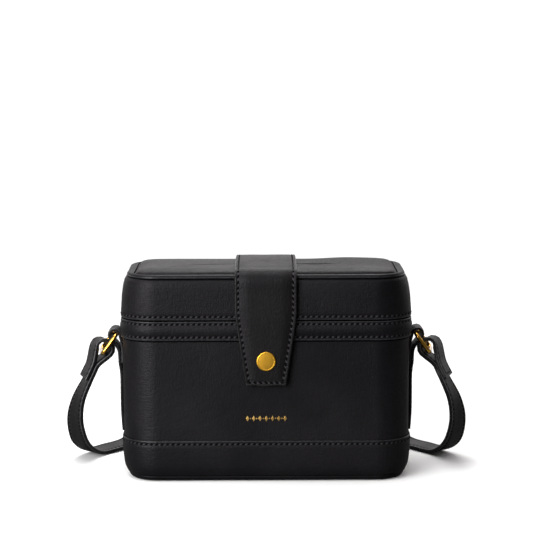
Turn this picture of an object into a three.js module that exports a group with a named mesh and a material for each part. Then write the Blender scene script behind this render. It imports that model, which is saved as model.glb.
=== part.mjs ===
import * as THREE from 'three';

// A small box bag of black leather: a stiff hollow case with a lid, a closure strap with a snap,
// and a shoulder strap that hangs on two brass rings and lies in a loop behind the case.
// Millimetres, +X to the right, +Y to the back, +Z up, the origin in the middle of the base.

// Case, over its widest line
const CASE_WIDTH = 222;
const CASE_DEPTH = 100;
const CASE_CORNER = 28;
const BODY_HEIGHT = 123;

// Leathers and the clearance between pieces that lie on each other
const WALL = 2.6;
const SKIN = 1.2;
const FIT = 0.3;

// Base panel and the roll of the case above it
const BASE_HEIGHT = 3.8;
const BASE_BOARD = 2.8;
const BASE_TUCK = 2.8;
const ROLL_HEIGHT = 24;
const ROLL_END_TUCK = 4.2;
const ROLL_FACE_TUCK = 2.4;

// Boot round the foot and collar round the mouth of the body
const BOOT_HEIGHT = 31.6;
const COLLAR_HEIGHT = 14.7;

// Lid
const LID_GAP = 0.8;
const LID_HEIGHT = 31.1;
const LID_END_SHOULDER = 5.8;
const LID_FACE_SHOULDER = 1.6;
const RIM_HEIGHT = 2.8;
const RIM_ROUND = 0.8;
const CROWN = 3.2;

// Hinge strip on the back
const HINGE_WIDTH = 150;
const HINGE_HEIGHT = 30;
const HINGE_LEATHER = 1.6;
const HINGE_CORNER = 5;

// Closure strap
const CLOSURE_WIDTH = 46.5;
const CLOSURE_LEATHER = 2.8;
const CLOSURE_TIP_WIDTH = 30;
const CLOSURE_TIP_CORNER = 2.4;
const CLOSURE_DROP = 80.6;
const CLOSURE_TAPER = 56;
const CLOSURE_BACK_DROP = 43;
const CLOSURE_FRONT_BEND = 8;
const CLOSURE_BACK_BEND = 7;
const CLOSURE_STAND_OFF = 1.2;

// Snap on the closure strap
const SNAP_RADIUS = 7.3;
const SNAP_THICKNESS = 1.9;
const SNAP_ROUND = 0.7;
const SNAP_ABOVE_TIP = 19.1;
const STUD_RADIUS = 4.5;

// Side tabs
const TAB_WIDTH = 20;
const TAB_LEATHER = 1.7;
const TAB_LOOP_RADIUS = 3.5;
const TAB_LOOP_STAND_OFF = 1.2;
const TAB_LOOP_BELOW_COLLAR = 1.4;
const TAB_SPREAD = 12.5;
const TAB_FOLD = 22;
const TAB_LAP = 7;

// Rings
const RING_WIRE = 3;
const RING_LENGTH = 15;
const RING_SIDE_PLAY = 1.2;
const RING_CORNER = 3.2;
const RING_TILT = 36;

// Shoulder strap
const STRAP_WIDTH = 20;
const STRAP_LEATHER = 2.4;
const STRAP_LOOP_RADIUS = 5.7;
const STRAP_NECK = 13;
const STRAP_NECK_TILT = 28;
const STRAP_FOLD = 13;
const STRAP_BULGE = 24;
const BACK_LOOP_RADIUS = 86;
const BACK_LOOP_RUN = 160;

// Fineness of the round stretches
const CORNER_STEPS = 9;
const LOOP_STEPS = 14;
const WIRE_SIDES = 10;
const SNAP_SIDES = 32;
const SNAP_STEPS = 2;
const BEND_STEPS = 6;
const TIP_STEPS = 3;
const ROUTE_STEPS = 5;
const BACK_LOOP_STEPS = 14;

// Heights that follow
const wallFoot = BASE_HEIGHT + FIT;
const collarFoot = BODY_HEIGHT - COLLAR_HEIGHT;
const lidFoot = BODY_HEIGHT + LID_GAP;
const lidSeam = lidFoot + LID_HEIGHT;
const rimFoot = lidSeam + FIT;
const rimTop = rimFoot + RIM_HEIGHT;
const lidTop = rimTop + CROWN;
const bodyInset = SKIN + FIT;

// Rim of the base panel: up as a share of BASE_HEIGHT, out as a share of BASE_TUCK
const BASE_RIM = [
  { up: 0, out: 0 },
  { up: 0.3, out: 0.4 },
  { up: 0.65, out: 0.65 },
  { up: 1, out: 0.7 },
];

// Roll of the case above the base: up as a share of ROLL_HEIGHT, tuck as a share of the tucks
const ROLL = [
  { up: 0, tuck: 1 },
  { up: 0.12, tuck: 0.64 },
  { up: 0.24, tuck: 0.38 },
  { up: 0.42, tuck: 0.22 },
  { up: 0.64, tuck: 0.1 },
  { up: 1, tuck: 0 },
];

// Shoulder of the lid: up as a share of LID_HEIGHT, ends and faces as shares of the shoulders
const SHOULDER = [
  { up: 0, ends: 0, faces: 0 },
  { up: 0.52, ends: 0.16, faces: 0 },
  { up: 0.76, ends: 0.33, faces: 0.05 },
  { up: 0.88, ends: 0.47, faces: 0.15 },
  { up: 0.96, ends: 0.6, faces: 0.4 },
  { up: 1, ends: 0.72, faces: 0.7 },
];

// Crown of the lid's top panel: inward as a share of the corner inside the shoulder, rise of CROWN
const TOP_CROWN = [
  { inward: 0.12, rise: 0.08 },
  { inward: 0.3, rise: 0.45 },
  { inward: 0.55, rise: 0.78 },
  { inward: 0.86, rise: 1 },
];

// Taper of the closure strap: down as a share of CLOSURE_TAPER, narrowing from full to tip width
const TAPER = [
  { down: 0, narrowing: 0 },
  { down: 0.14, narrowing: 0.1 },
  { down: 0.38, narrowing: 0.34 },
  { down: 0.68, narrowing: 0.66 },
  { down: 1, narrowing: 1 },
];

// Route of half the shoulder strap from its neck to the loop behind: out as a share of
// STRAP_BULGE beyond the ring, back as a share of the way to the loop's centre, up as a share of
// the ring's height, then how far the width is turned outward and leans up, in degrees
const ROUTE = [
  { out: 0.48, back: -0.006, up: 0.785, turn: 10, lean: 0 },
  { out: 0.77, back: 0.006, up: 0.6, turn: 19, lean: 0 },
  { out: 0.88, back: 0.04, up: 0.435, turn: 31, lean: 2 },
  { out: 0.91, back: 0.09, up: 0.27, turn: 44, lean: 5 },
  { out: 0.79, back: 0.152, up: 0.115, turn: 52, lean: 4 },
  { out: 0.42, back: 0.235, up: 0.014, turn: 48, lean: 1 },
  { out: -0.1, back: 0.315, up: 0.006, turn: 50, lean: 1 },
  { out: -0.72, back: 0.425, up: 0.002, turn: 57, lean: 3 },
  { out: -1.22, back: 0.54, up: 0.002, turn: 68, lean: 24 },
  { out: -1.58, back: 0.68, up: 0.001, turn: 80, lean: 66 },
];

const FULL_TURN = 2 * Math.PI;
const QUARTER_TURN = Math.PI / 2;
const radians = THREE.MathUtils.degToRad;

// Turns a closed mesh so that its faces point out
function facingOut(positions, triangles) {
  const geometry = new THREE.BufferGeometry();
  const corner = (index) => new THREE.Vector3().fromArray(positions, index * 3);
  let volume = 0;
  for (const [a, b, c] of triangles) {
    volume += corner(a).dot(corner(b).cross(corner(c)));
  }
  const turned = volume < 0 ? triangles.map(([a, b, c]) => [a, c, b]) : triangles;
  geometry.setAttribute('position', new THREE.Float32BufferAttribute(positions, 3));
  geometry.setIndex(turned.flat());
  geometry.computeVertexNormals();
  return geometry;
}

// Skins a row of equal closed sections into one body, which runs round or is capped at both ends
function skinned(sections, runsRound) {
  const count = sections[0].length;
  const positions = sections.flat().flatMap((point) => point.toArray());
  const triangles = [];
  const rows = runsRound ? sections.length : sections.length - 1;
  for (let row = 0; row < rows; row++) {
    const here = row * count;
    const there = ((row + 1) % sections.length) * count;
    for (let side = 0; side < count; side++) {
      const next = (side + 1) % count;
      triangles.push([here + side, here + next, there + next]);
      triangles.push([here + side, there + next, there + side]);
    }
  }
  if (!runsRound) {
    const last = rows * count;
    for (let side = 1; side < count - 1; side++) {
      triangles.push([0, side + 1, side]);
      triangles.push([last, last + side, last + side + 1]);
    }
  }
  return facingOut(positions, triangles);
}

// One level outline of the case, drawn in at its ends and at its front and back faces
function planRing(endInset, faceInset, z) {
  const ring = [];
  for (let quarter = 0; quarter < 4; quarter++) {
    const sideX = quarter === 0 || quarter === 3 ? 1 : -1;
    const sideY = quarter < 2 ? 1 : -1;
    for (let step = 0; step <= CORNER_STEPS; step++) {
      const angle = (quarter + step / CORNER_STEPS) * QUARTER_TURN;
      const x = sideX * (CASE_WIDTH / 2 - CASE_CORNER) + (CASE_CORNER - endInset) * Math.cos(angle);
      const y = sideY * (CASE_DEPTH / 2 - CASE_CORNER) + (CASE_CORNER - faceInset) * Math.sin(angle);
      ring.push(new THREE.Vector3(x, y, z));
    }
  }
  return ring;
}

// A band round the case: rows of insets and heights down its outside, then up its inside
function band(rows, depth, thickness) {
  const outside = rows.map((row) => planRing(row.ends + depth, row.faces + depth, row.z));
  const inner = depth + thickness;
  const inside = rows.map((row) => planRing(row.ends + inner, row.faces + inner, row.z));
  return skinned([...outside, ...inside.reverse()], true);
}

// Rows of the rolled foot of the case, ended by a row at the given height
function rolledRows(topHeight) {
  const rows = ROLL.map(({ up, tuck }) => ({
    ends: tuck * ROLL_END_TUCK,
    faces: tuck * ROLL_FACE_TUCK,
    z: wallFoot + up * ROLL_HEIGHT,
  }));
  return [...rows, { ends: 0, faces: 0, z: topHeight }];
}

// Flat ribbon of leather along a row of points, each with the direction of its width
function ribbon(points, thickness) {
  const sections = points.map((point, index) => {
    const before = points[Math.max(index - 1, 0)].at;
    const after = points[Math.min(index + 1, points.length - 1)].at;
    const along = after.clone().sub(before).normalize();
    const across = point.across.clone().addScaledVector(along, -point.across.dot(along)).normalize();
    const face = along.clone().cross(across).multiplyScalar(thickness / 2);
    const edge = across.multiplyScalar(point.halfWidth);
    const corner = (faceSide, edgeSide) => point.at.clone()
      .addScaledVector(face, faceSide)
      .addScaledVector(edge, edgeSide);
    return [corner(1, 1), corner(1, -1), corner(-1, -1), corner(-1, 1)];
  });
  return skinned(sections, false);
}

// Base panel: a shallow tray with a rounded rim that the bag stands on
function basePanel() {
  const under = { ends: ROLL_END_TUCK + BASE_TUCK, faces: ROLL_FACE_TUCK + BASE_TUCK };
  const ring = (inward, z) => planRing(under.ends + inward, under.faces + inward, z);
  const seat = WALL + BASE_TUCK;
  return skinned([
    ...BASE_RIM.map(({ up, out }) => ring(-out * BASE_TUCK, up * BASE_HEIGHT)),
    ring(seat, BASE_HEIGHT),
    ring(seat + FIT, BASE_BOARD),
  ], false);
}

// Body wall: one stiff wall all round, open at the mouth and closed below by the base panel
function bodyWall() {
  return band(rolledRows(BODY_HEIGHT), bodyInset, WALL);
}

// Boot: a skin round the foot of the body
function bootBand() {
  return band(rolledRows(BOOT_HEIGHT), 0, SKIN);
}

// Collar: a skin round the mouth of the body
function collarBand() {
  const foot = { ends: 0, faces: 0, z: collarFoot };
  const top = { ends: 0, faces: 0, z: BODY_HEIGHT };
  return band([foot, top], 0, SKIN);
}

// Lid wall: straight below, drawn in to a soft shoulder at the ends
function lidWall() {
  const rows = SHOULDER.map(({ up, ends, faces }) => ({
    ends: ends * LID_END_SHOULDER,
    faces: faces * LID_FACE_SHOULDER,
    z: lidFoot + up * LID_HEIGHT,
  }));
  return band(rows, 0, WALL);
}

// Lid top: a crowned panel inside a raised rim, hollow below
function lidTopPanel() {
  const room = CASE_CORNER - LID_END_SHOULDER;
  const ring = (inward, z) => planRing(LID_END_SHOULDER + inward, LID_FACE_SHOULDER + inward, z);
  const above = TOP_CROWN.map(({ inward, rise }) => ring(inward * room, rimTop + rise * CROWN));
  const below = TOP_CROWN.slice(1).map(({ inward, rise }) => (
    ring(inward * room, rimTop + rise * CROWN - WALL)
  ));
  return skinned([
    ...below.reverse(),
    ring(WALL, rimFoot),
    ring(-RIM_ROUND, rimFoot),
    ring(0, rimTop - RIM_ROUND),
    ring(RIM_ROUND, rimTop),
    ...above,
  ], false);
}

// Hinge strip: a plain strip sewn to the collar and the lid across the gap at the back
function hingeStrip() {
  const x = HINGE_WIDTH / 2;
  const y = HINGE_HEIGHT / 2;
  const inX = x - HINGE_CORNER;
  const inY = y - HINGE_CORNER;
  const outline = new THREE.Shape()
    .absarc(inX, inY, HINGE_CORNER, 0, QUARTER_TURN)
    .absarc(-inX, inY, HINGE_CORNER, QUARTER_TURN, 2 * QUARTER_TURN)
    .absarc(-inX, -inY, HINGE_CORNER, 2 * QUARTER_TURN, 3 * QUARTER_TURN)
    .absarc(inX, -inY, HINGE_CORNER, 3 * QUARTER_TURN, 4 * QUARTER_TURN);
  const options = { depth: HINGE_LEATHER, bevelEnabled: false, curveSegments: BEND_STEPS };
  return new THREE.ExtrudeGeometry(outline, options);
}
const hingeBack = CASE_DEPTH / 2 + FIT + HINGE_LEATHER;

// Closure strap: sewn down the back over the hinge, over the lid, and down the front to its tip
const closureFace = CASE_DEPTH / 2 + CLOSURE_STAND_OFF + CLOSURE_LEATHER / 2;
const closureTip = lidSeam - CLOSURE_DROP;
function closureStrap() {
  const backFace = hingeBack + FIT + CLOSURE_LEATHER / 2;
  const lying = TOP_CROWN.slice(1).map(({ inward, rise }) => ({
    y: CASE_DEPTH / 2 - LID_FACE_SHOULDER - inward * (CASE_CORNER - LID_END_SHOULDER),
    z: rimTop + rise * CROWN + FIT + CLOSURE_LEATHER / 2,
  }));
  const edgeTop = lying[0].z;
  const half = CLOSURE_WIDTH / 2;
  const tipHalf = CLOSURE_TIP_WIDTH / 2;
  const stations = [];
  const station = (y, z, halfWidth) => stations.push({
    at: new THREE.Vector3(0, y, z),
    across: new THREE.Vector3(1, 0, 0),
    halfWidth,
  });
  const bend = (centreY, radius, from, to) => {
    for (let step = 0; step <= BEND_STEPS; step++) {
      const angle = THREE.MathUtils.lerp(from, to, step / BEND_STEPS);
      const y = centreY + radius * Math.cos(angle);
      station(y, edgeTop - radius + radius * Math.sin(angle), half);
    }
  };
  const roundEnd = (y, tip, halfWidth, order) => {
    for (const step of order) {
      const angle = (step / TIP_STEPS) * QUARTER_TURN;
      const z = tip + CLOSURE_TIP_CORNER * (1 - Math.sin(angle));
      station(y, z, halfWidth - CLOSURE_TIP_CORNER * (1 - Math.cos(angle)));
    }
  };
  const tipOrder = Array.from({ length: TIP_STEPS }, (_, index) => index + 1);
  roundEnd(backFace, lidSeam - CLOSURE_BACK_DROP, half, [...tipOrder].reverse());
  station(backFace, lidSeam - CLOSURE_BACK_DROP + CLOSURE_TIP_CORNER, half);
  bend(backFace - CLOSURE_BACK_BEND, CLOSURE_BACK_BEND, 0, QUARTER_TURN);
  lying.forEach(({ y, z }) => station(y, z, half));
  lying.reverse().forEach(({ y, z }) => station(-y, z, half));
  bend(CLOSURE_FRONT_BEND - closureFace, CLOSURE_FRONT_BEND, QUARTER_TURN, 2 * QUARTER_TURN);
  const taperTop = closureTip + CLOSURE_TAPER;
  const taperLength = CLOSURE_TAPER - CLOSURE_TIP_CORNER;
  for (const { down, narrowing } of TAPER) {
    station(-closureFace, taperTop - down * taperLength, half - narrowing * (half - tipHalf));
  }
  roundEnd(-closureFace, closureTip, tipHalf, tipOrder);
  return ribbon(stations, CLOSURE_LEATHER);
}
const snapHeight = closureTip + SNAP_ABOVE_TIP;
const closureOutside = closureFace + CLOSURE_LEATHER / 2;
const closureInside = closureFace - CLOSURE_LEATHER / 2;

// A flat brass disc with a rounded rim, on its own axis
function disc(radius, thickness, round) {
  const profile = new THREE.Path()
    .moveTo(0, 0)
    .lineTo(radius, 0)
    .lineTo(radius, thickness - round)
    .absarc(radius - round, thickness - round, round, 0, QUARTER_TURN)
    .lineTo(0, thickness);
  return new THREE.LatheGeometry(profile.getPoints(SNAP_STEPS), SNAP_SIDES);
}

// Ring and the two loops that it hangs in, in the plane of the side's middle, x away from the case
const ringDirection = new THREE.Vector2(Math.sin(radians(RING_TILT)), -Math.cos(radians(RING_TILT)));
const tabLoop = new THREE.Vector2(
  CASE_WIDTH / 2 + TAB_LOOP_STAND_OFF + TAB_LEATHER + TAB_LOOP_RADIUS,
  collarFoot - TAB_LOOP_BELOW_COLLAR,
);
const ringReach = RING_LENGTH + RING_WIRE;
const tabSeat = TAB_LOOP_RADIUS - RING_WIRE / 2 - FIT;
const pivotBar = tabLoop.clone().addScaledVector(ringDirection, tabSeat);
const strapBar = pivotBar.clone().addScaledVector(ringDirection, ringReach);

// Angle from a leather loop's axis to where a layer leaves the round and runs to the other layer
function leavingAngle(radius, reach, halfGap) {
  return Math.atan2(halfGap, reach) + Math.acos(radius / Math.hypot(reach, halfGap));
}

// Eye of the shoulder strap: its inboard side rests against the ring's lower bar
const neckTilt = radians(STRAP_NECK_TILT);
const strapEyeRadius = STRAP_LOOP_RADIUS + STRAP_LEATHER / 2;
const strapHalfGap = (STRAP_LEATHER + FIT) / 2;
const strapLeaving = leavingAngle(strapEyeRadius, STRAP_NECK, strapHalfGap);
const strapSeat = (STRAP_LOOP_RADIUS - RING_WIRE / 2 - FIT) / Math.cos(strapLeaving - neckTilt);
const strapLoop = new THREE.Vector2(strapBar.x, strapBar.y + strapSeat);

// Places a point of the side's plane on the left (-1) or the right (+1) of the case
const onSide = (side, point, y = 0) => new THREE.Vector3(side * point.x, y, point.y);

// Arc of a leather loop about a centre, from where one layer leaves it round to where the other
// does; the two layers meet at the given reach down the axis
function loopArc(centre, radius, axis, reach, halfGap) {
  const aside = new THREE.Vector2(-axis.y, axis.x);
  const from = leavingAngle(radius, reach, halfGap);
  const arc = [];
  for (let step = 0; step <= LOOP_STEPS; step++) {
    const angle = THREE.MathUtils.lerp(from, FULL_TURN - from, step / LOOP_STEPS);
    arc.push(centre.clone()
      .addScaledVector(axis, radius * Math.cos(angle))
      .addScaledVector(aside, radius * Math.sin(angle)));
  }
  return arc;
}

// Side tab: up from the boot, round the ring's upper bar, and folded back behind itself
function sideTab(side) {
  const inner = CASE_WIDTH / 2 - bodyInset + FIT + TAB_LEATHER / 2;
  const outer = inner + TAB_LEATHER + FIT;
  const foldFoot = tabLoop.y - TAB_FOLD;
  const layersMeet = new THREE.Vector2((inner + outer) / 2, tabLoop.y - TAB_SPREAD);
  const axis = layersMeet.clone().sub(tabLoop).normalize();
  const halfGap = (outer - inner) / 2;
  const reach = layersMeet.distanceTo(tabLoop);
  const radius = TAB_LOOP_RADIUS + TAB_LEATHER / 2;
  const path = [
    new THREE.Vector2(inner, BOOT_HEIGHT + FIT),
    new THREE.Vector2(inner, foldFoot - TAB_LAP),
    new THREE.Vector2(outer, foldFoot),
    new THREE.Vector2(outer, layersMeet.y),
    ...loopArc(tabLoop, radius, axis, reach, halfGap),
    new THREE.Vector2(inner, layersMeet.y),
    new THREE.Vector2(inner, foldFoot),
  ];
  const across = new THREE.Vector3(0, 1, 0);
  const stations = path.map((point) => ({ at: onSide(side, point), across, halfWidth: TAB_WIDTH / 2 }));
  return ribbon(stations, TAB_LEATHER);
}

// Ring: round brass wire bent to a rectangle with round corners
function ring(side) {
  const halfLength = ringReach / 2;
  const halfWidth = STRAP_WIDTH / 2 + RING_SIDE_PLAY + RING_WIRE / 2;
  const middle = pivotBar.clone().lerp(strapBar, 0.5);
  const down = onSide(side, ringDirection);
  const sidewise = new THREE.Vector3(0, 1, 0);
  const flat = down.clone().cross(sidewise).normalize();
  const sections = [];
  for (let quarter = 0; quarter < 4; quarter++) {
    const alongDown = quarter === 0 || quarter === 3 ? 1 : -1;
    const alongSide = quarter < 2 ? 1 : -1;
    for (let step = 0; step <= BEND_STEPS; step++) {
      const angle = (quarter + step / BEND_STEPS) * QUARTER_TURN;
      const outward = down.clone().multiplyScalar(Math.cos(angle))
        .addScaledVector(sidewise, Math.sin(angle));
      const centre = onSide(side, middle)
        .addScaledVector(down, alongDown * (halfLength - RING_CORNER))
        .addScaledVector(sidewise, alongSide * (halfWidth - RING_CORNER))
        .addScaledVector(outward, RING_CORNER);
      const section = [];
      for (let facet = 0; facet < WIRE_SIDES; facet++) {
        const around = (facet / WIRE_SIDES) * FULL_TURN;
        section.push(centre.clone()
          .addScaledVector(outward, Math.cos(around) * RING_WIRE / 2)
          .addScaledVector(flat, Math.sin(around) * RING_WIRE / 2));
      }
      sections.push(section);
    }
  }
  return skinned(sections, true);
}

// Points of half the shoulder strap, from the folded end beside one ring to the middle behind
function halfStrap(side) {
  const neckAxis = new THREE.Vector2(Math.sin(neckTilt), -Math.cos(neckTilt));
  const outboard = new THREE.Vector2(-neckAxis.y, neckAxis.x);
  const neck = strapLoop.clone().addScaledVector(neckAxis, STRAP_NECK);
  const start = neck.clone().addScaledVector(outboard, -strapHalfGap);
  const backCentre = CASE_DEPTH / 2 + BACK_LOOP_RUN;
  const halfWidth = STRAP_WIDTH / 2;

  const centres = [onSide(side, start)];
  const widths = [new THREE.Vector3(0, 1, 0)];
  for (const { out, back, up, turn, lean } of ROUTE) {
    const resting = halfWidth * Math.sin(radians(lean)) + STRAP_LEATHER / 2 * Math.cos(radians(lean));
    const x = strapBar.x + out * STRAP_BULGE;
    centres.push(new THREE.Vector3(side * x, back * backCentre, resting + up * strapBar.y));
    const level = Math.cos(radians(lean));
    const across = new THREE.Vector3(
      side * level * Math.sin(radians(turn)),
      level * Math.cos(radians(turn)),
      Math.sin(radians(lean)),
    );
    widths.push(across);
  }
  for (let step = 0; step <= BACK_LOOP_STEPS / 2; step++) {
    const angle = (step / BACK_LOOP_STEPS) * Math.PI;
    const x = side * BACK_LOOP_RADIUS * Math.cos(angle);
    const y = backCentre + BACK_LOOP_RADIUS * Math.sin(angle);
    centres.push(new THREE.Vector3(x, y, halfWidth));
    widths.push(new THREE.Vector3(0, 0, 1));
  }
  const centreLine = new THREE.CatmullRomCurve3(centres);
  const widthLine = new THREE.CatmullRomCurve3(widths);
  const steps = (centres.length - 1) * ROUTE_STEPS;
  const route = [];
  for (let step = 0; step <= steps; step++) {
    const share = step / steps;
    const at = centreLine.getPoint(share);
    const across = widthLine.getPoint(share).normalize();
    route.push({ at, across, halfWidth });
  }

  const loop = loopArc(strapLoop, strapEyeRadius, neckAxis, STRAP_NECK, strapHalfGap)
    .map((point) => ({ at: onSide(side, point), across: widths[0], halfWidth }));
  const fold = [];
  let travelled = 0;
  for (let step = 0; travelled < STRAP_FOLD; step++) {
    const along = route[step + 1].at.clone().sub(route[step].at);
    const away = along.clone().cross(route[step].across).normalize();
    const lift = side * (STRAP_LEATHER + FIT);
    const at = route[step].at.clone().addScaledVector(away, lift);
    fold.unshift({ at, across: route[step].across, halfWidth });
    travelled += along.length();
  }
  return [...fold, ...loop, ...route];
}

// Shoulder strap: one length of leather, its two ends folded round the rings and sewn down
function shoulderStrap() {
  const left = halfStrap(-1);
  const right = halfStrap(1);
  return ribbon([...left, ...right.reverse().slice(1)], STRAP_LEATHER);
}

// Puts a named piece into the group
const bag = new THREE.Group();
function add(name, geometry, finish) {
  const mesh = new THREE.Mesh(geometry, new THREE.MeshStandardMaterial(finish));
  mesh.name = name;
  bag.add(mesh);
  return mesh;
}

const caseLeather = { color: 0x1b1a1a, roughness: 0.48, metalness: 0 };
const strapLeather = { color: 0x201f20, roughness: 0.5, metalness: 0 };
const brass = { color: 0xb8924e, roughness: 0.3, metalness: 1 };

add('base_panel', basePanel(), caseLeather);
add('body_wall', bodyWall(), caseLeather);
add('boot_band', bootBand(), caseLeather);
add('collar_band', collarBand(), caseLeather);
add('lid_wall', lidWall(), caseLeather);
add('lid_top', lidTopPanel(), caseLeather);

const hinge = add('hinge_strip', hingeStrip(), caseLeather);
hinge.rotation.x = QUARTER_TURN;
hinge.position.set(0, hingeBack, BODY_HEIGHT + LID_GAP / 2);

add('closure_strap', closureStrap(), strapLeather);
const cap = add('snap_cap', disc(SNAP_RADIUS, SNAP_THICKNESS, SNAP_ROUND), brass);
cap.rotation.x = Math.PI;
cap.position.set(0, -closureOutside - FIT, snapHeight);

const studFoot = CASE_DEPTH / 2 - bodyInset + FIT;
const stud = add('snap_stud', disc(STUD_RADIUS, closureInside - FIT - studFoot, FIT), brass);
stud.rotation.x = Math.PI;
stud.position.set(0, -studFoot, snapHeight);

for (const [word, side] of [['left', -1], ['right', 1]]) {
  add(`side_tab_${word}`, sideTab(side), strapLeather);
  add(`ring_${word}`, ring(side), brass);
}
add('shoulder_strap', shoulderStrap(), strapLeather);

export default bag;
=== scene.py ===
import math

import bmesh
import bpy
import numpy as np
from mathutils import Matrix, Vector


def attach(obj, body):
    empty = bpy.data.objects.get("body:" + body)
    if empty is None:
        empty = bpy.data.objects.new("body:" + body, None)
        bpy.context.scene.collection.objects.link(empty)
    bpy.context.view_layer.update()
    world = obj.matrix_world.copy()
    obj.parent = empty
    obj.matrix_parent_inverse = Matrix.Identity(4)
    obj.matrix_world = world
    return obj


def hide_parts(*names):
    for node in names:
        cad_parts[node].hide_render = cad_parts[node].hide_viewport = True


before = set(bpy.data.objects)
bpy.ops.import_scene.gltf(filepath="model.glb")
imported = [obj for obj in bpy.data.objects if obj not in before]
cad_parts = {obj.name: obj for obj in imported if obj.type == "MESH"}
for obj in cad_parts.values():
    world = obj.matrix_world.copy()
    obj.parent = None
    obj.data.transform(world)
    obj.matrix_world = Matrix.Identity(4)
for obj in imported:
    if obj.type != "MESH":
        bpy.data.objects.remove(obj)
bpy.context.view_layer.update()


# Body of the case: one stiff wall of black leather glued over board, rolled in at its foot, open
# at the mouth and covered inside with a dark woven lining. Its sizes, like those of every piece
# below, are in millimetres, and one length of stitch is used all round the case.
MM = 0.001
CASE_HALF_LENGTH = 111
CASE_HALF_DEPTH = 50
CASE_CORNER = 28
WALL_FOOT = 4.1
BODY_TOP = 123
BODY_INSET = 1.5
WALL = 2.6
CREASE_FOOT = 107.2
ROLL_HEIGHT = 24
ROLL_END_TUCK = 4.2
ROLL_FACE_TUCK = 2.4
ROLL_STEPS = (0, 1, 2.4, 4, 6, 8.5, 11.5, 15, 19, 24, 28)
LINING_HEIGHTS = (121.5, 90, 60, 28, 19, 12, 8, 6)
STITCH = 4.11
STEPS_PER_STITCH = 2
FAR = 9
ROLL = [(0, 1), (0.12, 0.64), (0.24, 0.38), (0.42, 0.22), (0.64, 0.1), (1, 0)]
CASE_BLACK = (0.0038, 0.0034, 0.0042, 1)
CASE_WORN = (0.0072, 0.0064, 0.0072, 1)
# Painted highlight on the leather puffed up between stitches.
RIDGE_HIGHLIGHT = (0.026, 0.024, 0.027, 1)
LINING_DARK = (0.010, 0.009, 0.008, 1)
LINING_LIGHT = (0.022, 0.020, 0.018, 1)
# Painted shade in the slit round each stitch.
SLIT_SHADE = (0.0004, 0.0004, 0.0004, 1)
# Painted shade, mottled, for the crease under the collar's foot.
CREASE_SHADE_BLACK = (0.0004, 0.0004, 0.0004, 1)
CREASE_SHADE_MOTTLE = (0.001, 0.001, 0.001, 1)
LEATHER_SHEEN = 0.16
LEATHER_TINT = (0.97, 0.94, 1.0, 1)
GRAIN_DEPTH = 0.17
SEAM_DEPTH = 0.3


def hermite(t, span, start, end, slope_from, slope_to):
    """From one value to the next over a span, with the slope at both ends; t runs from 0 to 1."""
    return ((2 * t**3 - 3 * t**2 + 1) * start + (t**3 - 2 * t**2 + t) * span * slope_from
            + (3 * t**2 - 2 * t**3) * end + (t**3 - t**2) * span * slope_to)


def eased(table, place):
    """Value at a place on a smooth line through rows of (place, value)."""
    places = [row[0] for row in table]
    values = [row[1] for row in table]
    place = min(max(place, places[0]), places[-1])
    span = max(i for i in range(len(table) - 1) if places[i] <= place)

    def slope(i):
        low, high = max(i - 1, 0), min(i + 1, len(table) - 1)
        return (values[high] - values[low]) / (places[high] - places[low])

    width = places[span + 1] - places[span]
    t = (place - places[span]) / width
    return hermite(t, width, values[span], values[span + 1], slope(span), slope(span + 1))


def case_outline():
    """Plan of the case in even steps: the centre that each point turns about and the way it faces."""
    x, y = CASE_HALF_LENGTH - CASE_CORNER, CASE_HALF_DEPTH - CASE_CORNER
    arc = CASE_CORNER * math.pi / 2
    corners = [(-x, -y), (x, -y), (x, y), (-x, y)]
    stretches = []
    for side in range(4):
        start, end = corners[side], corners[(side + 1) % 4]
        facing = -90 + 90 * side
        stretches.append((math.dist(start, end), start, end, facing, facing))
        stretches.append((arc, end, end, facing, facing + 90))
    whole = sum(stretch[0] for stretch in stretches)
    count = round(whole / STITCH) * STEPS_PER_STITCH
    frames = []
    for step in range(count):
        left = whole * step / count
        for length, start, end, facing, turned in stretches:
            if left < length:
                break
            left -= length
        share = left / length
        angle = math.radians(facing + (turned - facing) * share)
        centre = [a + (b - a) * share for a, b in zip(start, end)]
        frames.append((*centre, math.cos(angle), math.sin(angle)))
    return np.array(frames)


outline = case_outline()
outline_share = np.arange(len(outline)) / len(outline)


def give(z):
    """How far the leather over the board stands in or out of true, all round at one height."""
    turn = 2 * math.pi * outline_share
    return (0.16 * np.sin(2 * turn + z / 37) + 0.10 * np.sin(5 * turn + 1.7 - z / 21)
            + 0.06 * np.sin(11 * turn + z / 13))


def case_ring(ends, faces, z):
    """One level line round the case, drawn in at the ends and at the front and back faces."""
    soft = give(z)
    x = outline[:, 0] + (CASE_CORNER - ends + soft) * outline[:, 2]
    y = outline[:, 1] + (CASE_CORNER - faces + soft) * outline[:, 3]
    return np.column_stack([x, y, np.full(len(x), float(z))])


def set_down(name, mesh, face_out=True, smooth=True):
    """Puts a mesh in the scene as a piece, its faces turned outward and shaded smooth."""
    if face_out:
        shaped = bmesh.new()
        shaped.from_mesh(mesh)
        bmesh.ops.recalc_face_normals(shaped, faces=shaped.faces)
        shaped.to_mesh(mesh)
        shaped.free()
    if smooth:
        mesh.shade_smooth()
    piece = bpy.data.objects.new(name, mesh)
    bpy.context.scene.collection.objects.link(piece)
    return piece


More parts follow.
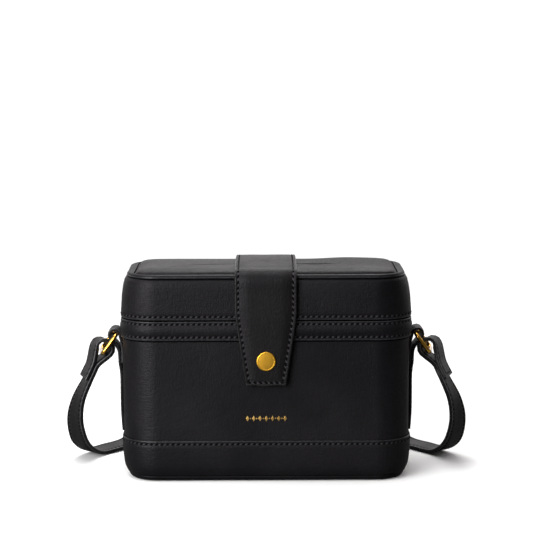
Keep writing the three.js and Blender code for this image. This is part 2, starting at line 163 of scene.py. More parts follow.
def lofted(name, grid, along, off, wraps, finishes, row_finish=None, column_finish=None):
    """Skins a grid of points. Its seam map holds stitches along a seam and mm off it, or FAR."""
    rows, columns = grid.shape[:2]
    wrap_rows, wrap_columns = wraps
    faces, seam, finish = [], [], []
    for r in range(rows if wrap_rows else rows - 1):
        for c in range(columns if wrap_columns else columns - 1):
            r2, c2 = (r + 1) % rows, (c + 1) % columns
            faces.append((r * columns + c, r * columns + c2, r2 * columns + c2, r2 * columns + c))
            corners = ((r, c), (r, c + 1), (r + 1, c + 1), (r + 1, c))
            offs = [off(row % rows, column % columns) for row, column in corners]
            side = -1 if min(offs) < 0 else 1
            for (row, column), way in zip(corners, offs):
                seam.append((along(row, column), side * FAR if way == FAR else way))
            index = row_finish[r] if row_finish else column_finish[c] if column_finish else 0
            finish.append(index)
    if not wrap_rows:
        for ring in (range(columns), range((rows - 1) * columns, rows * columns)):
            faces.append(tuple(ring))
            seam += [(0, FAR)] * columns
            finish.append(row_finish[0] if row_finish else column_finish[0] if column_finish else 0)
    mesh = bpy.data.meshes.new(name)
    mesh.from_pydata((grid.reshape(-1, 3) * MM).tolist(), [], faces)
    mesh.uv_layers.new(name="seam").data.foreach_set("uv", np.array(seam, np.float32).ravel())
    mesh.polygons.foreach_set("material_index", finish)
    for material in finishes:
        mesh.materials.append(material)
    return set_down(name, mesh)


def stitches_along(row, column):
    """How many stitches lie between the start of a line round the case and a column."""
    return column / STEPS_PER_STITCH


def case_band(name, rows, finishes, row_finish=None, closed=True):
    """A band round the case from rows of (ends, faces, z, off the seam), closed in section or not."""
    grid = np.array([case_ring(*row[:3]) for row in rows])
    return lofted(name, grid, stitches_along, lambda row, column: rows[row][3], (closed, True),
                  finishes, row_finish)


def roll(z):
    """How far the foot of the case is tucked in at a height: at the ends, at the faces."""
    share = eased(ROLL, (z - WALL_FOOT) / ROLL_HEIGHT)
    return share * ROLL_END_TUCK, share * ROLL_FACE_TUCK


def new_group(name, inputs, outputs):
    """An empty shader node group with its sockets, and its two end nodes."""
    group = bpy.data.node_groups.new(name, "ShaderNodeTree")
    for label, default in inputs:
        socket = group.interface.new_socket(label, in_out="INPUT", socket_type="NodeSocketFloat")
        socket.default_value = default
    for label in outputs:
        group.interface.new_socket(label, in_out="OUTPUT", socket_type="NodeSocketFloat")
    return group, group.nodes.new("NodeGroupInput"), group.nodes.new("NodeGroupOutput")


def node(tree, kind, **settings):
    """A shader node, with attributes set by name and sockets set by a list of (socket, value)."""
    made = tree.nodes.new(kind)
    sockets = settings.pop("sockets", [])
    for key, value in settings.items():
        setattr(made, key, value)
    for socket, value in sockets:
        made.inputs[socket].default_value = value
    return made


def math_node(tree, operation, *values):
    """The output of a Math node whose inputs are numbers or sockets."""
    made = node(tree, "ShaderNodeMath", operation=operation)
    for index, value in enumerate(values):
        if isinstance(value, (int, float)):
            made.inputs[index].default_value = value
        else:
            tree.links.new(value, made.inputs[index])
    return made.outputs[0]


def ramp(tree, value, low, high, to_low=0.0, to_high=1.0):
    """Maps a value from one range to another, smoothly and clamped."""
    made = node(tree, "ShaderNodeMapRange", interpolation_type="SMOOTHSTEP",
                sockets=[("From Min", low), ("From Max", high), ("To Min", to_low), ("To Max", to_high)])
    tree.links.new(value, made.inputs["Value"])
    return made.outputs["Result"]


def make_grain():
    """Leather grain: fine pebbles, pressed crossing lines with pores, and a slow mottle."""
    group, entry, out = new_group("leather grain", [("Cells per metre", 900.0), ("Mottle scale", 16.0)],
                                  ["Height", "Fleck", "Mottle"])
    place = node(group, "ShaderNodeTexCoord").outputs["Object"]
    pebble = node(group, "ShaderNodeTexVoronoi", feature="SMOOTH_F1",
                  sockets=[("Smoothness", 0.6), ("Randomness", 1.0)])
    fine = node(group, "ShaderNodeTexNoise", sockets=[("Scale", 2600.0), ("Detail", 2.0)])
    crease = node(group, "ShaderNodeTexNoise", sockets=[("Scale", 260.0), ("Detail", 3.0)])
    fleck = node(group, "ShaderNodeTexNoise", sockets=[("Scale", 620.0), ("Detail", 3.0), ("Roughness", 0.6)])
    slow = node(group, "ShaderNodeTexNoise", sockets=[("Detail", 4.0), ("Roughness", 0.55)])
    for made in (pebble, fine, crease, fleck, slow):
        group.links.new(place, made.inputs["Vector"])
    lines = []
    for stretch in ((0.16, 0.16, 1.0), (1.0, 1.0, 0.16)):
        longer = node(group, "ShaderNodeMapping", sockets=[("Scale", stretch)])
        line = node(group, "ShaderNodeTexNoise", sockets=[("Scale", 900.0), ("Detail", 2.0)])
        group.links.new(place, longer.inputs["Vector"])
        group.links.new(longer.outputs["Vector"], line.inputs["Vector"])
        lines.append(line.outputs["Fac"])
    group.links.new(entry.outputs["Cells per metre"], pebble.inputs["Scale"])
    group.links.new(entry.outputs["Mottle scale"], slow.inputs["Scale"])
    pressed = math_node(group, "ADD", *lines)
    pores = math_node(group, "MULTIPLY", fine.outputs["Fac"], 0.35)
    folds = math_node(group, "MULTIPLY", crease.outputs["Fac"], 0.9)
    height = math_node(group, "SUBTRACT", math_node(group, "ADD", pores, folds), pebble.outputs["Distance"])
    height = math_node(group, "ADD", height, math_node(group, "MULTIPLY", pressed, 0.9))
    group.links.new(height, out.inputs["Height"])
    flecks = math_node(group, "ADD", fleck.outputs["Fac"], math_node(group, "MULTIPLY", pressed, 0.5))
    group.links.new(ramp(group, flecks, 0.72, 1.28), out.inputs["Fleck"])
    group.links.new(ramp(group, slow.outputs["Fac"], 0.32, 0.7), out.inputs["Mottle"])
    return group


def make_seam():
    """Masks round a stitched line: the slit that the thread lies in, painted with shade, and the leather
    puffed up between, painted with a highlight; both also set the bump.
    """
    group, entry, out = new_group("seam", [("Slant", -0.16)], ["Slit", "Ridge and highlight"])
    seam = node(group, "ShaderNodeUVMap", uv_map="seam").outputs["UV"]
    parts = node(group, "ShaderNodeSeparateXYZ")
    group.links.new(seam, parts.inputs[0])
    off = parts.outputs["Y"]
    lean = math_node(group, "MULTIPLY", off, entry.outputs["Slant"])
    stage = math_node(group, "FRACT", math_node(group, "ADD", parts.outputs["X"], lean))
    between = math_node(group, "ABSOLUTE", math_node(group, "SUBTRACT", stage, 0.5))
    aside = math_node(group, "ABSOLUTE", off)
    slit = math_node(group, "MULTIPLY", ramp(group, between, 0.26, 0.32),
                     ramp(group, aside, 0.5, 0.75, 1.0, 0.0))
    ridge = math_node(group, "MULTIPLY", ramp(group, between, 0.16, 0.27, 1.0, 0.0),
                      ramp(group, aside, 0.5, 0.9, 1.0, 0.0))
    group.links.new(slit, out.inputs["Slit"])
    group.links.new(ridge, out.inputs["Ridge and highlight"])
    return group


leather_grain = make_grain()
seam_relief = make_seam()


def new_material(name):
    """A material with nodes, its Principled shader and its tree."""
    material = bpy.data.materials.new(name)
    material.use_nodes = True
    return material, material.node_tree.nodes["Principled BSDF"], material.node_tree


def placed(tree, group, **values):
    """A group placed in a material with its own values."""
    made = node(tree, "ShaderNodeGroup", node_tree=group)
    for label, value in values.items():
        made.inputs[label.replace("_", " ")].default_value = value
    return made


def blend_colours(tree, factor, first, second):
    """The first colour turning to the second as the factor rises; each is a colour or a socket."""
    made = node(tree, "ShaderNodeMix", data_type="RGBA")
    tree.links.new(factor, made.inputs["Factor"])
    for label, colour in (("A", first), ("B", second)):
        socket = [s for s in made.inputs if s.name == label and s.type == "RGBA"][0]
        if isinstance(colour, tuple):
            socket.default_value = colour
        else:
            tree.links.new(colour, socket)
    return [s for s in made.outputs if s.type == "RGBA"][0]


def bumped(tree, height, depth_mm, strength, under=None):
    """A bump of a depth in millimetres over another normal."""
    made = node(tree, "ShaderNodeBump", sockets=[("Strength", strength), ("Distance", depth_mm * MM)])
    tree.links.new(height, made.inputs["Height"])
    if under:
        tree.links.new(under, made.inputs["Normal"])
    return made.outputs["Normal"]


def leather(name, black, worn, smooth, rough, cells):
    """Black leather with a fine grain, slit and puffed along its stitched lines; the slits get painted shade
    and the puffs a painted highlight.
    """
    material, shader, tree = new_material(name)
    grain = placed(tree, leather_grain, Cells_per_metre=cells)
    colour = blend_colours(tree, grain.outputs["Mottle"], black, worn)
    dark = tuple(0.55 * part for part in black[:3]) + (1,)
    colour = blend_colours(tree, math_node(tree, "MULTIPLY", grain.outputs["Fleck"], 0.8), colour, dark)
    seam = placed(tree, seam_relief)
    # Painted highlight on the puffed leather between stitches.
    colour = blend_colours(tree, seam.outputs["Ridge and highlight"], colour, RIDGE_HIGHLIGHT)
    # Painted shade in the slits round the stitches.
    colour = blend_colours(tree, seam.outputs["Slit"], colour, SLIT_SHADE)
    normal = bumped(tree, grain.outputs["Height"], GRAIN_DEPTH, 0.7)
    relief = math_node(tree, "SUBTRACT", seam.outputs["Ridge and highlight"], seam.outputs["Slit"])
    normal = bumped(tree, relief, SEAM_DEPTH, 1.0, normal)
    roughness = ramp(tree, grain.outputs["Mottle"], 0.0, 1.0, smooth, rough)
    spread = math_node(tree, "MULTIPLY", grain.outputs["Fleck"], 0.08)
    tree.links.new(colour, shader.inputs["Base Color"])
    roughness = math_node(tree, "ADD", roughness, spread)
    tree.links.new(math_node(tree, "MAXIMUM", roughness, seam.outputs["Slit"]), shader.inputs["Roughness"])
    tree.links.new(normal, shader.inputs["Normal"])
    shader.inputs["Specular IOR Level"].default_value = LEATHER_SHEEN
    shader.inputs["Specular Tint"].default_value = LEATHER_TINT
    return material


case_leather = leather("case leather", CASE_BLACK, CASE_WORN, 0.40, 0.50, 900.0)


def make_lining():
    """Dark plain-woven cloth: two sets of threads that cross."""
    material, shader, tree = new_material("lining")
    place = node(tree, "ShaderNodeTexCoord").outputs["Object"]
    threads = []
    for direction in ("DIAGONAL", "Z"):
        wave = node(tree, "ShaderNodeTexWave", bands_direction=direction, sockets=[("Scale", 420.0)])
        tree.links.new(place, wave.inputs["Vector"])
        threads.append(wave.outputs["Fac"])
    weave = math_node(tree, "MAXIMUM", *threads)
    tree.links.new(blend_colours(tree, weave, LINING_DARK, LINING_LIGHT), shader.inputs["Base Color"])
    tree.links.new(bumped(tree, weave, 0.12, 0.7), shader.inputs["Normal"])
    shader.inputs["Roughness"].default_value = 0.85
    return material


lining = make_lining()


def grained(name, colours, mask, relief, rough, sheen, cells=900.0, metal=0):
    """A finish over the leather's grain: two colours mixed by one of its masks, and its relief."""
    material, shader, tree = new_material(name)
    grain = placed(tree, leather_grain, Cells_per_metre=cells)
    tree.links.new(blend_colours(tree, grain.outputs[mask], *colours), shader.inputs["Base Color"])
    tree.links.new(bumped(tree, grain.outputs["Height"], *relief), shader.inputs["Normal"])
    shader.inputs["Roughness"].default_value = rough
    shader.inputs["Specular IOR Level"].default_value = sheen
    shader.inputs["Metallic"].default_value = metal
    return material


# Painted shade: near-black with a mottle, standing in for the shadow under the collar band's edge.
painted_crease_shade = grained("painted crease shade", (CREASE_SHADE_BLACK, CREASE_SHADE_MOTTLE), "Mottle", (0.1, 0.6), 0.7, 0.02)


def body_rows():
    """Up the outside of the body wall, over its mouth, and down the lining."""
    heights = [WALL_FOOT + step for step in ROLL_STEPS]
    heights += [36 + 7 * step for step in range(11)] + [CREASE_FOOT, 110, 116, 122.2]
    out = [(roll(z)[0] + BODY_INSET, roll(z)[1] + BODY_INSET, z, FAR) for z in heights]
    mouth = [(BODY_INSET + 0.25, 122.75), (BODY_INSET + 0.8, BODY_TOP), (BODY_INSET + WALL - 0.8, BODY_TOP),
             (BODY_INSET + WALL - 0.2, 122.7)]
    out += [(inset, inset, z, FAR) for inset, z in mouth]
    inner = BODY_INSET + WALL
    into = [(roll(z)[0] + inner, roll(z)[1] + inner, z, FAR) for z in LINING_HEIGHTS]
    return out + into + [(ROLL_END_TUCK + inner, ROLL_FACE_TUCK + inner, WALL_FOOT, FAR)], len(out)


rows, outer_rows = body_rows()
# Painted shade: the strip of wall from CREASE_FOOT up under the collar's foot is near-black, for the shadow
# below the band's edge.
body = case_band("body", rows, [case_leather, lining, painted_crease_shade],
                 [2 if row[2] == CREASE_FOOT else 0 for row in rows[:outer_rows]]
                 + [1] * (len(rows) - outer_rows))
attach(body, "root")
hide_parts("body_wall")


# Base panel: a board covered with the case leather, its rim turned up round the foot of the body.
# The bag stands on it, and a stitched line holds the leather round its underside.
BASE_HEIGHT = 3.8
BASE_BOARD = 2.8
BASE_UNDER = (7.0, 5.2)
BASE_RIM = [(0.9, 0), (0.25, 0.25), (-0.4, 0.75), (-1.15, 1.4), (-1.65, 2.2), (-1.9, 3.0), (-1.95, 3.55),
            (-1.6, BASE_HEIGHT)]
BASE_LINE = 9.0
BASE_GROOVE = 0.3
# Painted highlight: a pale bluish grey for the light caught along rims and folds, put on narrow rows of the
# base, boot, collar and lid.
EDGE_HIGHLIGHT_GREY = (0.026, 0.026, 0.031, 1)

painted_highlight = grained("burnished leather", (EDGE_HIGHLIGHT_GREY, CASE_WORN), "Fleck", (0.06, 0.6), 0.34, 0.26)


def groove(depth, half=1.0):
    """Offsets across a stitched line, with how deep the thread pulls the leather at each."""
    return [(-half, 0), (-half * 0.5, depth * 0.6), (0, depth), (half * 0.5, depth * 0.6), (half, 0)]


def base_rows():
    """From the middle of the underside out to the rim, and back over the board inside."""
    def at(inward, z, off=FAR):
        return (BASE_UNDER[0] + inward, BASE_UNDER[1] + inward, z, off)
    under = [at(20, 0)] + [at(BASE_LINE - offset, press, -offset) for offset, press in groove(BASE_GROOVE)]
    rim = [at(inward, z) for inward, z in BASE_RIM]
    return under + rim + [at(5.4, BASE_HEIGHT), at(5.7, BASE_BOARD), at(20, BASE_BOARD)]


rows = base_rows()
# Two narrow rows low on the rim get the painted highlight.
base = case_band("base", rows, [case_leather, painted_highlight],
                 [1 if row in (7, 8) else 0 for row in range(len(rows))], closed=False)
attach(base, "root")
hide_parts("base_panel")


# Thread of the case: waxed black thread, sewn by machine at a slight slant, each stitch standing
# up from the leather between two needle holes.
THREAD_RADIUS = 0.3
STITCH_REACH = STITCH * 0.24
STITCH_SLANT = 0.25
STITCH_RISE = 0.12
STITCH_DIVE = 0.55
STITCH_THINS = 0.25
THREAD_BLACK = (0.001, 0.001, 0.0011, 1)
THREAD_WAX = (0.003, 0.0029, 0.003, 1)


def noise(tree, scale, detail):
    """The value of a soft noise that stays with the piece."""
    made = node(tree, "ShaderNodeTexNoise", sockets=[("Scale", scale), ("Detail", detail)])
    tree.links.new(node(tree, "ShaderNodeTexCoord").outputs["Object"], made.inputs["Vector"])
    return made.outputs["Fac"]


def make_thread():
    """Waxed thread with the twist of its strands."""
    material, shader, tree = new_material("thread")
    twist = noise(tree, 2400.0, 2.0)
    tree.links.new(blend_colours(tree, twist, THREAD_BLACK, THREAD_WAX), shader.inputs["Base Color"])
    tree.links.new(bumped(tree, twist, 0.08, 0.6), shader.inputs["Normal"])
    shader.inputs["Roughness"].default_value = 0.65
    shader.inputs["Specular IOR Level"].default_value = 0.05
    return material


thread = make_thread()


def sewn(name, stitches, rides_over=0.16):
    """Joined stitches from a list of (middle, along, outward) on the bottom of their groove."""
    sides, steps = 6, 5
    points, faces = [], []
    for middle, along, outward in stitches:
        along, outward = Vector(along).normalized(), Vector(outward).normalized()
        aside = outward.cross(along)
        first = len(points)
        for step in range(steps + 1):
            t = -1 + 2 * step / steps
            rise = rides_over + STITCH_RISE - STITCH_DIVE * t**4
            centre = (Vector(middle) + along * (t * STITCH_REACH) + aside * (-t * STITCH_SLANT)
                      + outward * rise)
            thick = THREAD_RADIUS * (1 - STITCH_THINS * t**2)
            for side in range(sides):
                angle = 2 * math.pi * side / sides
                points.append(centre + aside * (thick * math.cos(angle))
                              + outward * (thick * math.sin(angle)))
        for step in range(steps):
            for side in range(sides):
                here, there = first + step * sides, first + (step + 1) * sides
                after = (side + 1) % sides
                faces.append((here + side, here + after, there + after, there + side))
        faces.append(tuple(first + side for side in reversed(range(sides))))
        faces.append(tuple(first + steps * sides + side for side in range(sides)))
    mesh = bpy.data.meshes.new(name)
    mesh.from_pydata([tuple(point * MM) for point in points], [], faces)
    mesh.materials.append(thread)
    piece = set_down(name, mesh, face_out=False)
    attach(piece, "root")


def round_the_case(ends, faces, z, upright=0):
    """Stitches round the case on one of its lines; upright is 1 on a top, -1 below, 0 on a wall."""
    ring = case_ring(ends, faces, z)
    stitches = []
    for index in range(0, len(ring), STEPS_PER_STITCH):
        along = ring[(index + 1) % len(ring)] - ring[index - 1]
        outward = (0, 0, upright) if upright else (outline[index, 2], outline[index, 3], 0)
        stitches.append((ring[index], along, outward))
    return stitches


sewn("base_thread", round_the_case(BASE_UNDER[0] + BASE_LINE, BASE_UNDER[1] + BASE_LINE, 0.55, -1), 0.0)


# Boot: a second skin of leather round the foot of the body, cut straight along its top and sewn
# there with one line. Its raw upper edge is painted black.
BOOT_TOP = 31.6
BOOT_LINE = 29.0
BOOT_GROOVE = 0.32
SKIN = 1.2
EDGE_BLACK = (0.0022, 0.0021, 0.0023, 1)
EDGE_RUBBED = (0.0065, 0.0062, 0.0066, 1)


def make_edge_paint():
    """Edge paint: buffed black with slight waves along the cut."""
    material, shader, tree = new_material("edge paint")
    waves = noise(tree, 180.0, 3.0)
    tree.links.new(blend_colours(tree, waves, EDGE_BLACK, EDGE_RUBBED), shader.inputs["Base Color"])
    tree.links.new(ramp(tree, waves, 0.3, 0.7, 0.26, 0.38), shader.inputs["Roughness"])
    tree.links.new(bumped(tree, waves, 0.15, 0.5), shader.inputs["Normal"])
    shader.inputs["Specular IOR Level"].default_value = 0.26
    return material


edge_paint = make_edge_paint()


def boot_rows():
    """Up the outside of the boot, over its cut top edge, and down behind it."""
    def at(inset, z, off=FAR):
        ends, faces = roll(z)
        return (ends + inset, faces + inset, z, off)
    heights = [WALL_FOOT + step for step in (0.3, 1, 2, 3.2, 4.8, 6.6, 8.6, 11, 14, 18, 21.5)]
    out = [at(0.25, WALL_FOOT)] + [at(0, z) for z in heights]
    out += [at(press, BOOT_LINE + offset, offset) for offset, press in groove(BOOT_GROOVE)]
    edge = [at(0, BOOT_TOP - 0.7), at(0.12, BOOT_TOP - 0.25), at(0.45, BOOT_TOP), at(SKIN, BOOT_TOP)]
    behind = [at(SKIN, z) for z in (26, 20, 14, 9, 6, WALL_FOOT)]
    return out + edge + behind, len(out) + 1


rows, paint_from = boot_rows()
# The row on the front of the boot's cut top edge gets the painted highlight; the edge above it is painted
# black.
boot_finish = {paint_from - 1: 2, paint_from: 1, paint_from + 1: 1}
boot = case_band("boot", rows, [case_leather, edge_paint, painted_highlight],
                 [boot_finish.get(row, 0) for row in range(len(rows))])
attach(boot, "root")
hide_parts("boot_band")
sewn("boot_thread", round_the_case(BOOT_GROOVE, BOOT_GROOVE, BOOT_LINE))


# Collar: a band of leather round the mouth of the body, folded over along its foot and its top,
# and sewn with a line near each.
COLLAR_FOOT = 108.3
COLLAR_LINES = (110.9, 120.8)
COLLAR_GROOVE = 0.34
COLLAR_PUFF = [(0.45, 113.2), (0.75, 115.6), (0.62, 118.2)]


def collar_rows():
    """Round the section of the collar, up its outside and down its back."""
    foot, top = COLLAR_FOOT, BODY_TOP
    out = [(SKIN, foot), (0.5, foot), (0.12, foot + 0.2), (-0.05, foot + 0.7), (-0.05, foot + 1.3)]
    rows = [(inset, inset, z, FAR) for inset, z in out]
    for line in COLLAR_LINES:
        rows += [(press - 0.05, press - 0.05, line + offset, offset)
                 for offset, press in groove(COLLAR_GROOVE)]
        if line == COLLAR_LINES[0]:
            rows += [(-puff, -puff, z, FAR) for puff, z in COLLAR_PUFF]
    over = [(-0.05, top - 0.7), (0.12, top - 0.2), (0.5, top), (SKIN, top)]
    return rows + [(inset, inset, z, FAR) for inset, z in over]


rows = collar_rows()
# The rounded folds at the collar's foot and top get the painted highlight.
collar = case_band("collar", rows, [case_leather, painted_highlight],
                   [1 if row in (2, 3, len(rows) - 4) else 0 for row in range(len(rows))])
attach(collar, "root")
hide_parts("collar_band")
collar_stitches = [s for line in COLLAR_LINES for s in round_the_case(0.29, 0.29, line)]
sewn("collar_thread", collar_stitches)


# Side of the lid: a stiff wall like the body's, folded over along its foot and sewn there, and
# drawn in at the top to a soft shoulder that turns under the rim.
LID_FOOT = 123.8
LID_HEIGHT = 31.1
LID_SHOULDER = (5.8, 1.6)
LID_LINE = 126.5
LID_GROOVE = 0.34
LID_ROLL = [(-0.1, 149.6), (0.0, 151.2), (-0.12, 152.3), (0.05, 153.3), (0.3, 154.2), (0.9, 154.9)]
SHOULDER_ENDS = [(0, 0), (0.52, 0.16), (0.76, 0.33), (0.88, 0.47), (0.96, 0.6), (1, 0.72)]
SHOULDER_FACES = [(0, 0), (0.52, 0), (0.76, 0.05), (0.88, 0.15), (0.96, 0.4), (1, 0.7)]


def lid_side_rows():
    """Up the outside of the lid's wall, in under the rim, and down the lining."""
    def at(inset, z, off=FAR):
        up = (z - LID_FOOT) / LID_HEIGHT
        return (eased(SHOULDER_ENDS, up) * LID_SHOULDER[0] + inset,
                eased(SHOULDER_FACES, up) * LID_SHOULDER[1] + inset, z, off)
    foot = [(WALL - 0.5, 0), (0.75, 0), (0.2, 0.2), (-0.1, 0.7), (-0.15, 1.3)]
    rows = [at(inset, LID_FOOT + up) for inset, up in foot]
    rows += [at(press - 0.12, LID_LINE + offset, offset) for offset, press in groove(LID_GROOVE)]
    rows += [at(-0.15, z) for z in (129.5, 133, 137, 141, 144.5, 147.5)]
    rows += [at(inset, z) for inset, z in LID_ROLL]
    count = len(rows)
    rows += [at(WALL, z) for z in (154.9, 150, 143, 135, 128, LID_FOOT + 0.6)]
    return rows, count


rows, outer_rows = lid_side_rows()
# The fold at the lid wall's foot gets the painted highlight.
lid_side = case_band("lid_side", rows, [case_leather, lining, painted_highlight],
                     [2 if row in (2, 3) else 0 for row in range(outer_rows)]
                     + [1] * (len(rows) - outer_rows))
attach(lid_side, "root")
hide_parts("lid_wall")
sewn("lid_thread", round_the_case(0.22, 0.22, LID_LINE))


# Top of the lid: a padded leather panel inside a raised, rolled rim. The rim is sewn down along
# its inner side, and the panel is soft enough to rise and dip a little.
RIM_TOP = 158.0
RIM_LINE = 6.2
CROWN = 3.2
CROWN_ROOM = 22.2
TOP_CROWN = [(0, 0), (0.12, 0.08), (0.3, 0.45), (0.55, 0.78), (0.86, 1)]
PANEL_CORNER = 10
PANEL_CREASE = 1.1
TOP_RISES = [(62, 22, 1.3, 26, 18), (-70, 18, 0.5, 30, 16), (38, 6, -0.9, 16, 30), (-52, -8, -0.7, 34, 20)]
UNDER_RIM = [(12, RIM_TOP - 0.1), (6.7, RIM_TOP - 2.4)]
RIM_SECTION = [(WALL, 155.2), (0.2, 155.2), (-0.4, 155.25), (-0.85, 155.5), (-1.0, 155.9), (-0.92, 156.3),
               (-0.72, 156.65), (-0.66, 157.1), (-0.35, 157.6), (0.1, 157.9), (0.8, 158.1), (1.8, 158.2),
               (3.0, 158.15), (4.4, 157.9), (5.2, 157.6)]
PANEL_SECTION = [(5.8, 157.1), (RIM_LINE, RIM_TOP - PANEL_CREASE), (6.5, 157.2), (6.75, 158.1), (7.2, 158.9),
                 (8.0, 159.45), (9.2, 159.9), (10.6, 160.25), (12.2, 160.5), (14.5, 160.8), (17, 161.05)]
PANEL_SPINE = 60


def softened(points):
    """Lets the padded panel rise and dip where it is soft."""
    for x, y, rise, wide, deep in TOP_RISES:
        away = ((points[:, 0] - x) / wide) ** 2 + ((points[:, 1] - y) / deep) ** 2
        points[:, 2] += rise * np.exp(-away)
    return points


def panel_ring(inward, z):
    """A line round the lid's top at a way in from its outer edge; the crease turns tighter corners."""
    ends, faces = LID_SHOULDER[0] + inward, LID_SHOULDER[1] + inward
    squeeze = eased([(0, 0), (RIM_LINE * 0.5, 0.35), (RIM_LINE, 1)], inward)
    tight = max(PANEL_CORNER - 0.5 * max(inward - RIM_LINE, 0), 4)
    round_x = (CASE_CORNER - ends) * (1 - squeeze) + tight * squeeze
    round_y = (CASE_CORNER - faces) * (1 - squeeze) + tight * squeeze
    run_x = (CASE_HALF_LENGTH - ends - round_x) / (CASE_HALF_LENGTH - CASE_CORNER)
    run_y = (CASE_HALF_DEPTH - faces - round_y) / (CASE_HALF_DEPTH - CASE_CORNER)
    soft = give(z)
    x = outline[:, 0] * run_x + (round_x + soft) * outline[:, 2]
    y = outline[:, 1] * run_y + (round_y + soft) * outline[:, 3]
    return np.column_stack([x, y, np.full(len(x), float(z))])


def lid_panel_grid():
    """From the hollow underside out to the rim, over it, and in to the middle of the panel."""
    def toward_middle(ring, share):
        on_spine = np.clip(ring[:, 0], -PANEL_SPINE, PANEL_SPINE)
        spine = np.column_stack([on_spine, np.zeros(len(ring)), ring[:, 2]])
        return ring * (1 - share) + spine * share
    inner = panel_ring(CROWN_ROOM * 0.86, RIM_TOP + CROWN)
    lower = inner - [0, 0, WALL]
    rings = [toward_middle(lower, 0.95), lower]
    rings += [panel_ring(inward, z) for inward, z in UNDER_RIM + RIM_SECTION]
    rings += [softened(panel_ring(inward, z)) for inward, z in PANEL_SECTION]
    for share in (0, 0.2, 0.4, 0.6, 0.8, 0.95):
        rings.append(softened(toward_middle(inner, share)))
    return np.array(rings)


grid = lid_panel_grid()
# The lower lip of the rim gets the painted highlight.
lid_panel = lofted("lid_panel", grid, stitches_along, lambda row, column: FAR, (False, True),
                   [case_leather, painted_highlight],
                   [1 if row in (8, 9) else 0 for row in range(len(grid))])
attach(lid_panel, "root")
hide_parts("lid_top")


def travelled_along(points):
    """Length travelled to each point of a line."""
    return np.concatenate([[0], np.cumsum(np.linalg.norm(np.diff(points, axis=0), axis=1))])


def even_round(ring, pitch):
    """Places and ways at an even pitch along a closed line."""
    closed = np.vstack([ring, ring[:1]])
    travelled = travelled_along(closed)
    count = round(travelled[-1] / pitch)
    stops = np.linspace(0, travelled[-1], count, endpoint=False)
    places = np.column_stack([np.interp(stops, travelled, closed[:, k]) for k in range(3)])
    next_stops = (stops + 0.5) % travelled[-1]
    ahead = np.column_stack([np.interp(next_stops, travelled, closed[:, k]) for k in range(3)])
    return [(place, way - place, (0, 0, 1)) for place, way in zip(places, ahead)]


sewn("rim_thread", even_round(panel_ring(5.2, 157.55), STITCH))


# Closure strap: two leathers glued back to back with painted edges and a line of stitches along
# each side. It is sewn to the back, bends over the lid and comes down the front to a narrower tip.
CLOSURE_HALF = 23.25
CLOSURE_TIP_HALF = 15
CLOSURE_LEATHER = 2.8
CLOSURE_BACK = 53.6
CLOSURE_BACK_END = 111.9
CLOSURE_FRONT = -52.6
CLOSURE_TIP = 74.3
CLOSURE_TAPER = 56
CLOSURE_BENDS = (7, 8)
CLOSURE_CORNER = 1.8
CLOSURE_LIE = 1.7
CLOSURE_LINE = 2.7
EDGE_ROUND = 0.6
PRESS = 0.34
PACE = STITCH / STEPS_PER_STITCH
END_ROUND = [(0, 0.45, 0.5), (0.12, 0.84, 0.15)]
TAPER = [(0, 0), (0.14, 0.1), (0.38, 0.34), (0.68, 0.66), (1, 1)]
STRAP_BLACK = (0.0046, 0.0041, 0.0044, 1)
STRAP_WORN = (0.0085, 0.0076, 0.0079, 1)

strap_leather = leather("strap leather", STRAP_BLACK, STRAP_WORN, 0.42, 0.52, 950.0)


def through(controls):
    """Even stations on a smooth line through rows of (x, y, z, width direction, half width, sewn)."""
    rows = np.array(controls, float)
    step = np.linalg.norm(np.diff(rows[:, :3], axis=0), axis=1)
    rows = rows[np.concatenate([[True], step > 1e-6])]
    step = step[step > 1e-6]
    rise = np.diff(rows, axis=0) / step[:, None]
    slope = np.vstack([rise[:1], (step[1:, None] * rise[:-1] + step[:-1, None] * rise[1:])
                       / (step[1:] + step[:-1])[:, None], rise[-1:]])
    slope[:, 6:] = 0
    dense = []
    for i, length in enumerate(step):
        for t in np.arange(8) / 8:
            dense.append(hermite(t, length, rows[i], rows[i + 1], slope[i], slope[i + 1]))
    dense = np.array(dense + [rows[-1]])
    travelled = travelled_along(dense[:, :3])
    count = max(round(travelled[-1] / PACE / STEPS_PER_STITCH), 1) * STEPS_PER_STITCH
    even = np.linspace(0, travelled[-1], count + 1)
    return np.column_stack([np.interp(even, travelled, dense[:, k]) for k in range(dense.shape[1])])


def strap_section(half, thickness, line, held, from_end):
    """Section of a strap as rows of (across, out, seam, off the seam, painted), from its middle."""
    thick = thickness / 2
    at_end = abs(from_end) < 1
    dip = PRESS * max(0, 1 - abs(from_end) / 0.9)
    press = 0 if at_end else PRESS * held

    def flat(u, depth, off):
        if at_end:
            return (u, thick - dip, u / STITCH, from_end, 0)
        return (u, thick - depth, None, off, 0)
    near = [flat(half * 0.02, 0, FAR), flat(half * 0.5, -0.1, FAR)]
    near += [flat(half - line + offset, depth, offset if held > 0.5 else FAR)
             for offset, depth in groove(press, 0.9)]
    round_off = min(EDGE_ROUND, thick * 0.8)
    # Paint 2, on the corner's curve, takes a painted highlight where the strap has that finish; the closure
    # strap has only edge paint there.
    for angle, paint in ((90, 1), (72, 2), (38, 2), (6, 1)):
        angle = math.radians(angle)
        near.append((half - round_off + round_off * math.cos(angle),
                     thick - round_off + round_off * math.sin(angle), None, FAR, paint))
    right = near + [(half + 0.03, 0, None, FAR, 1)] + [(u, -v, *rest) for u, v, *rest in reversed(near)]
    left = [(-u, v, None if seam is None else -seam, off, paint)
            for u, v, seam, off, paint in reversed(right)]
    return right + left


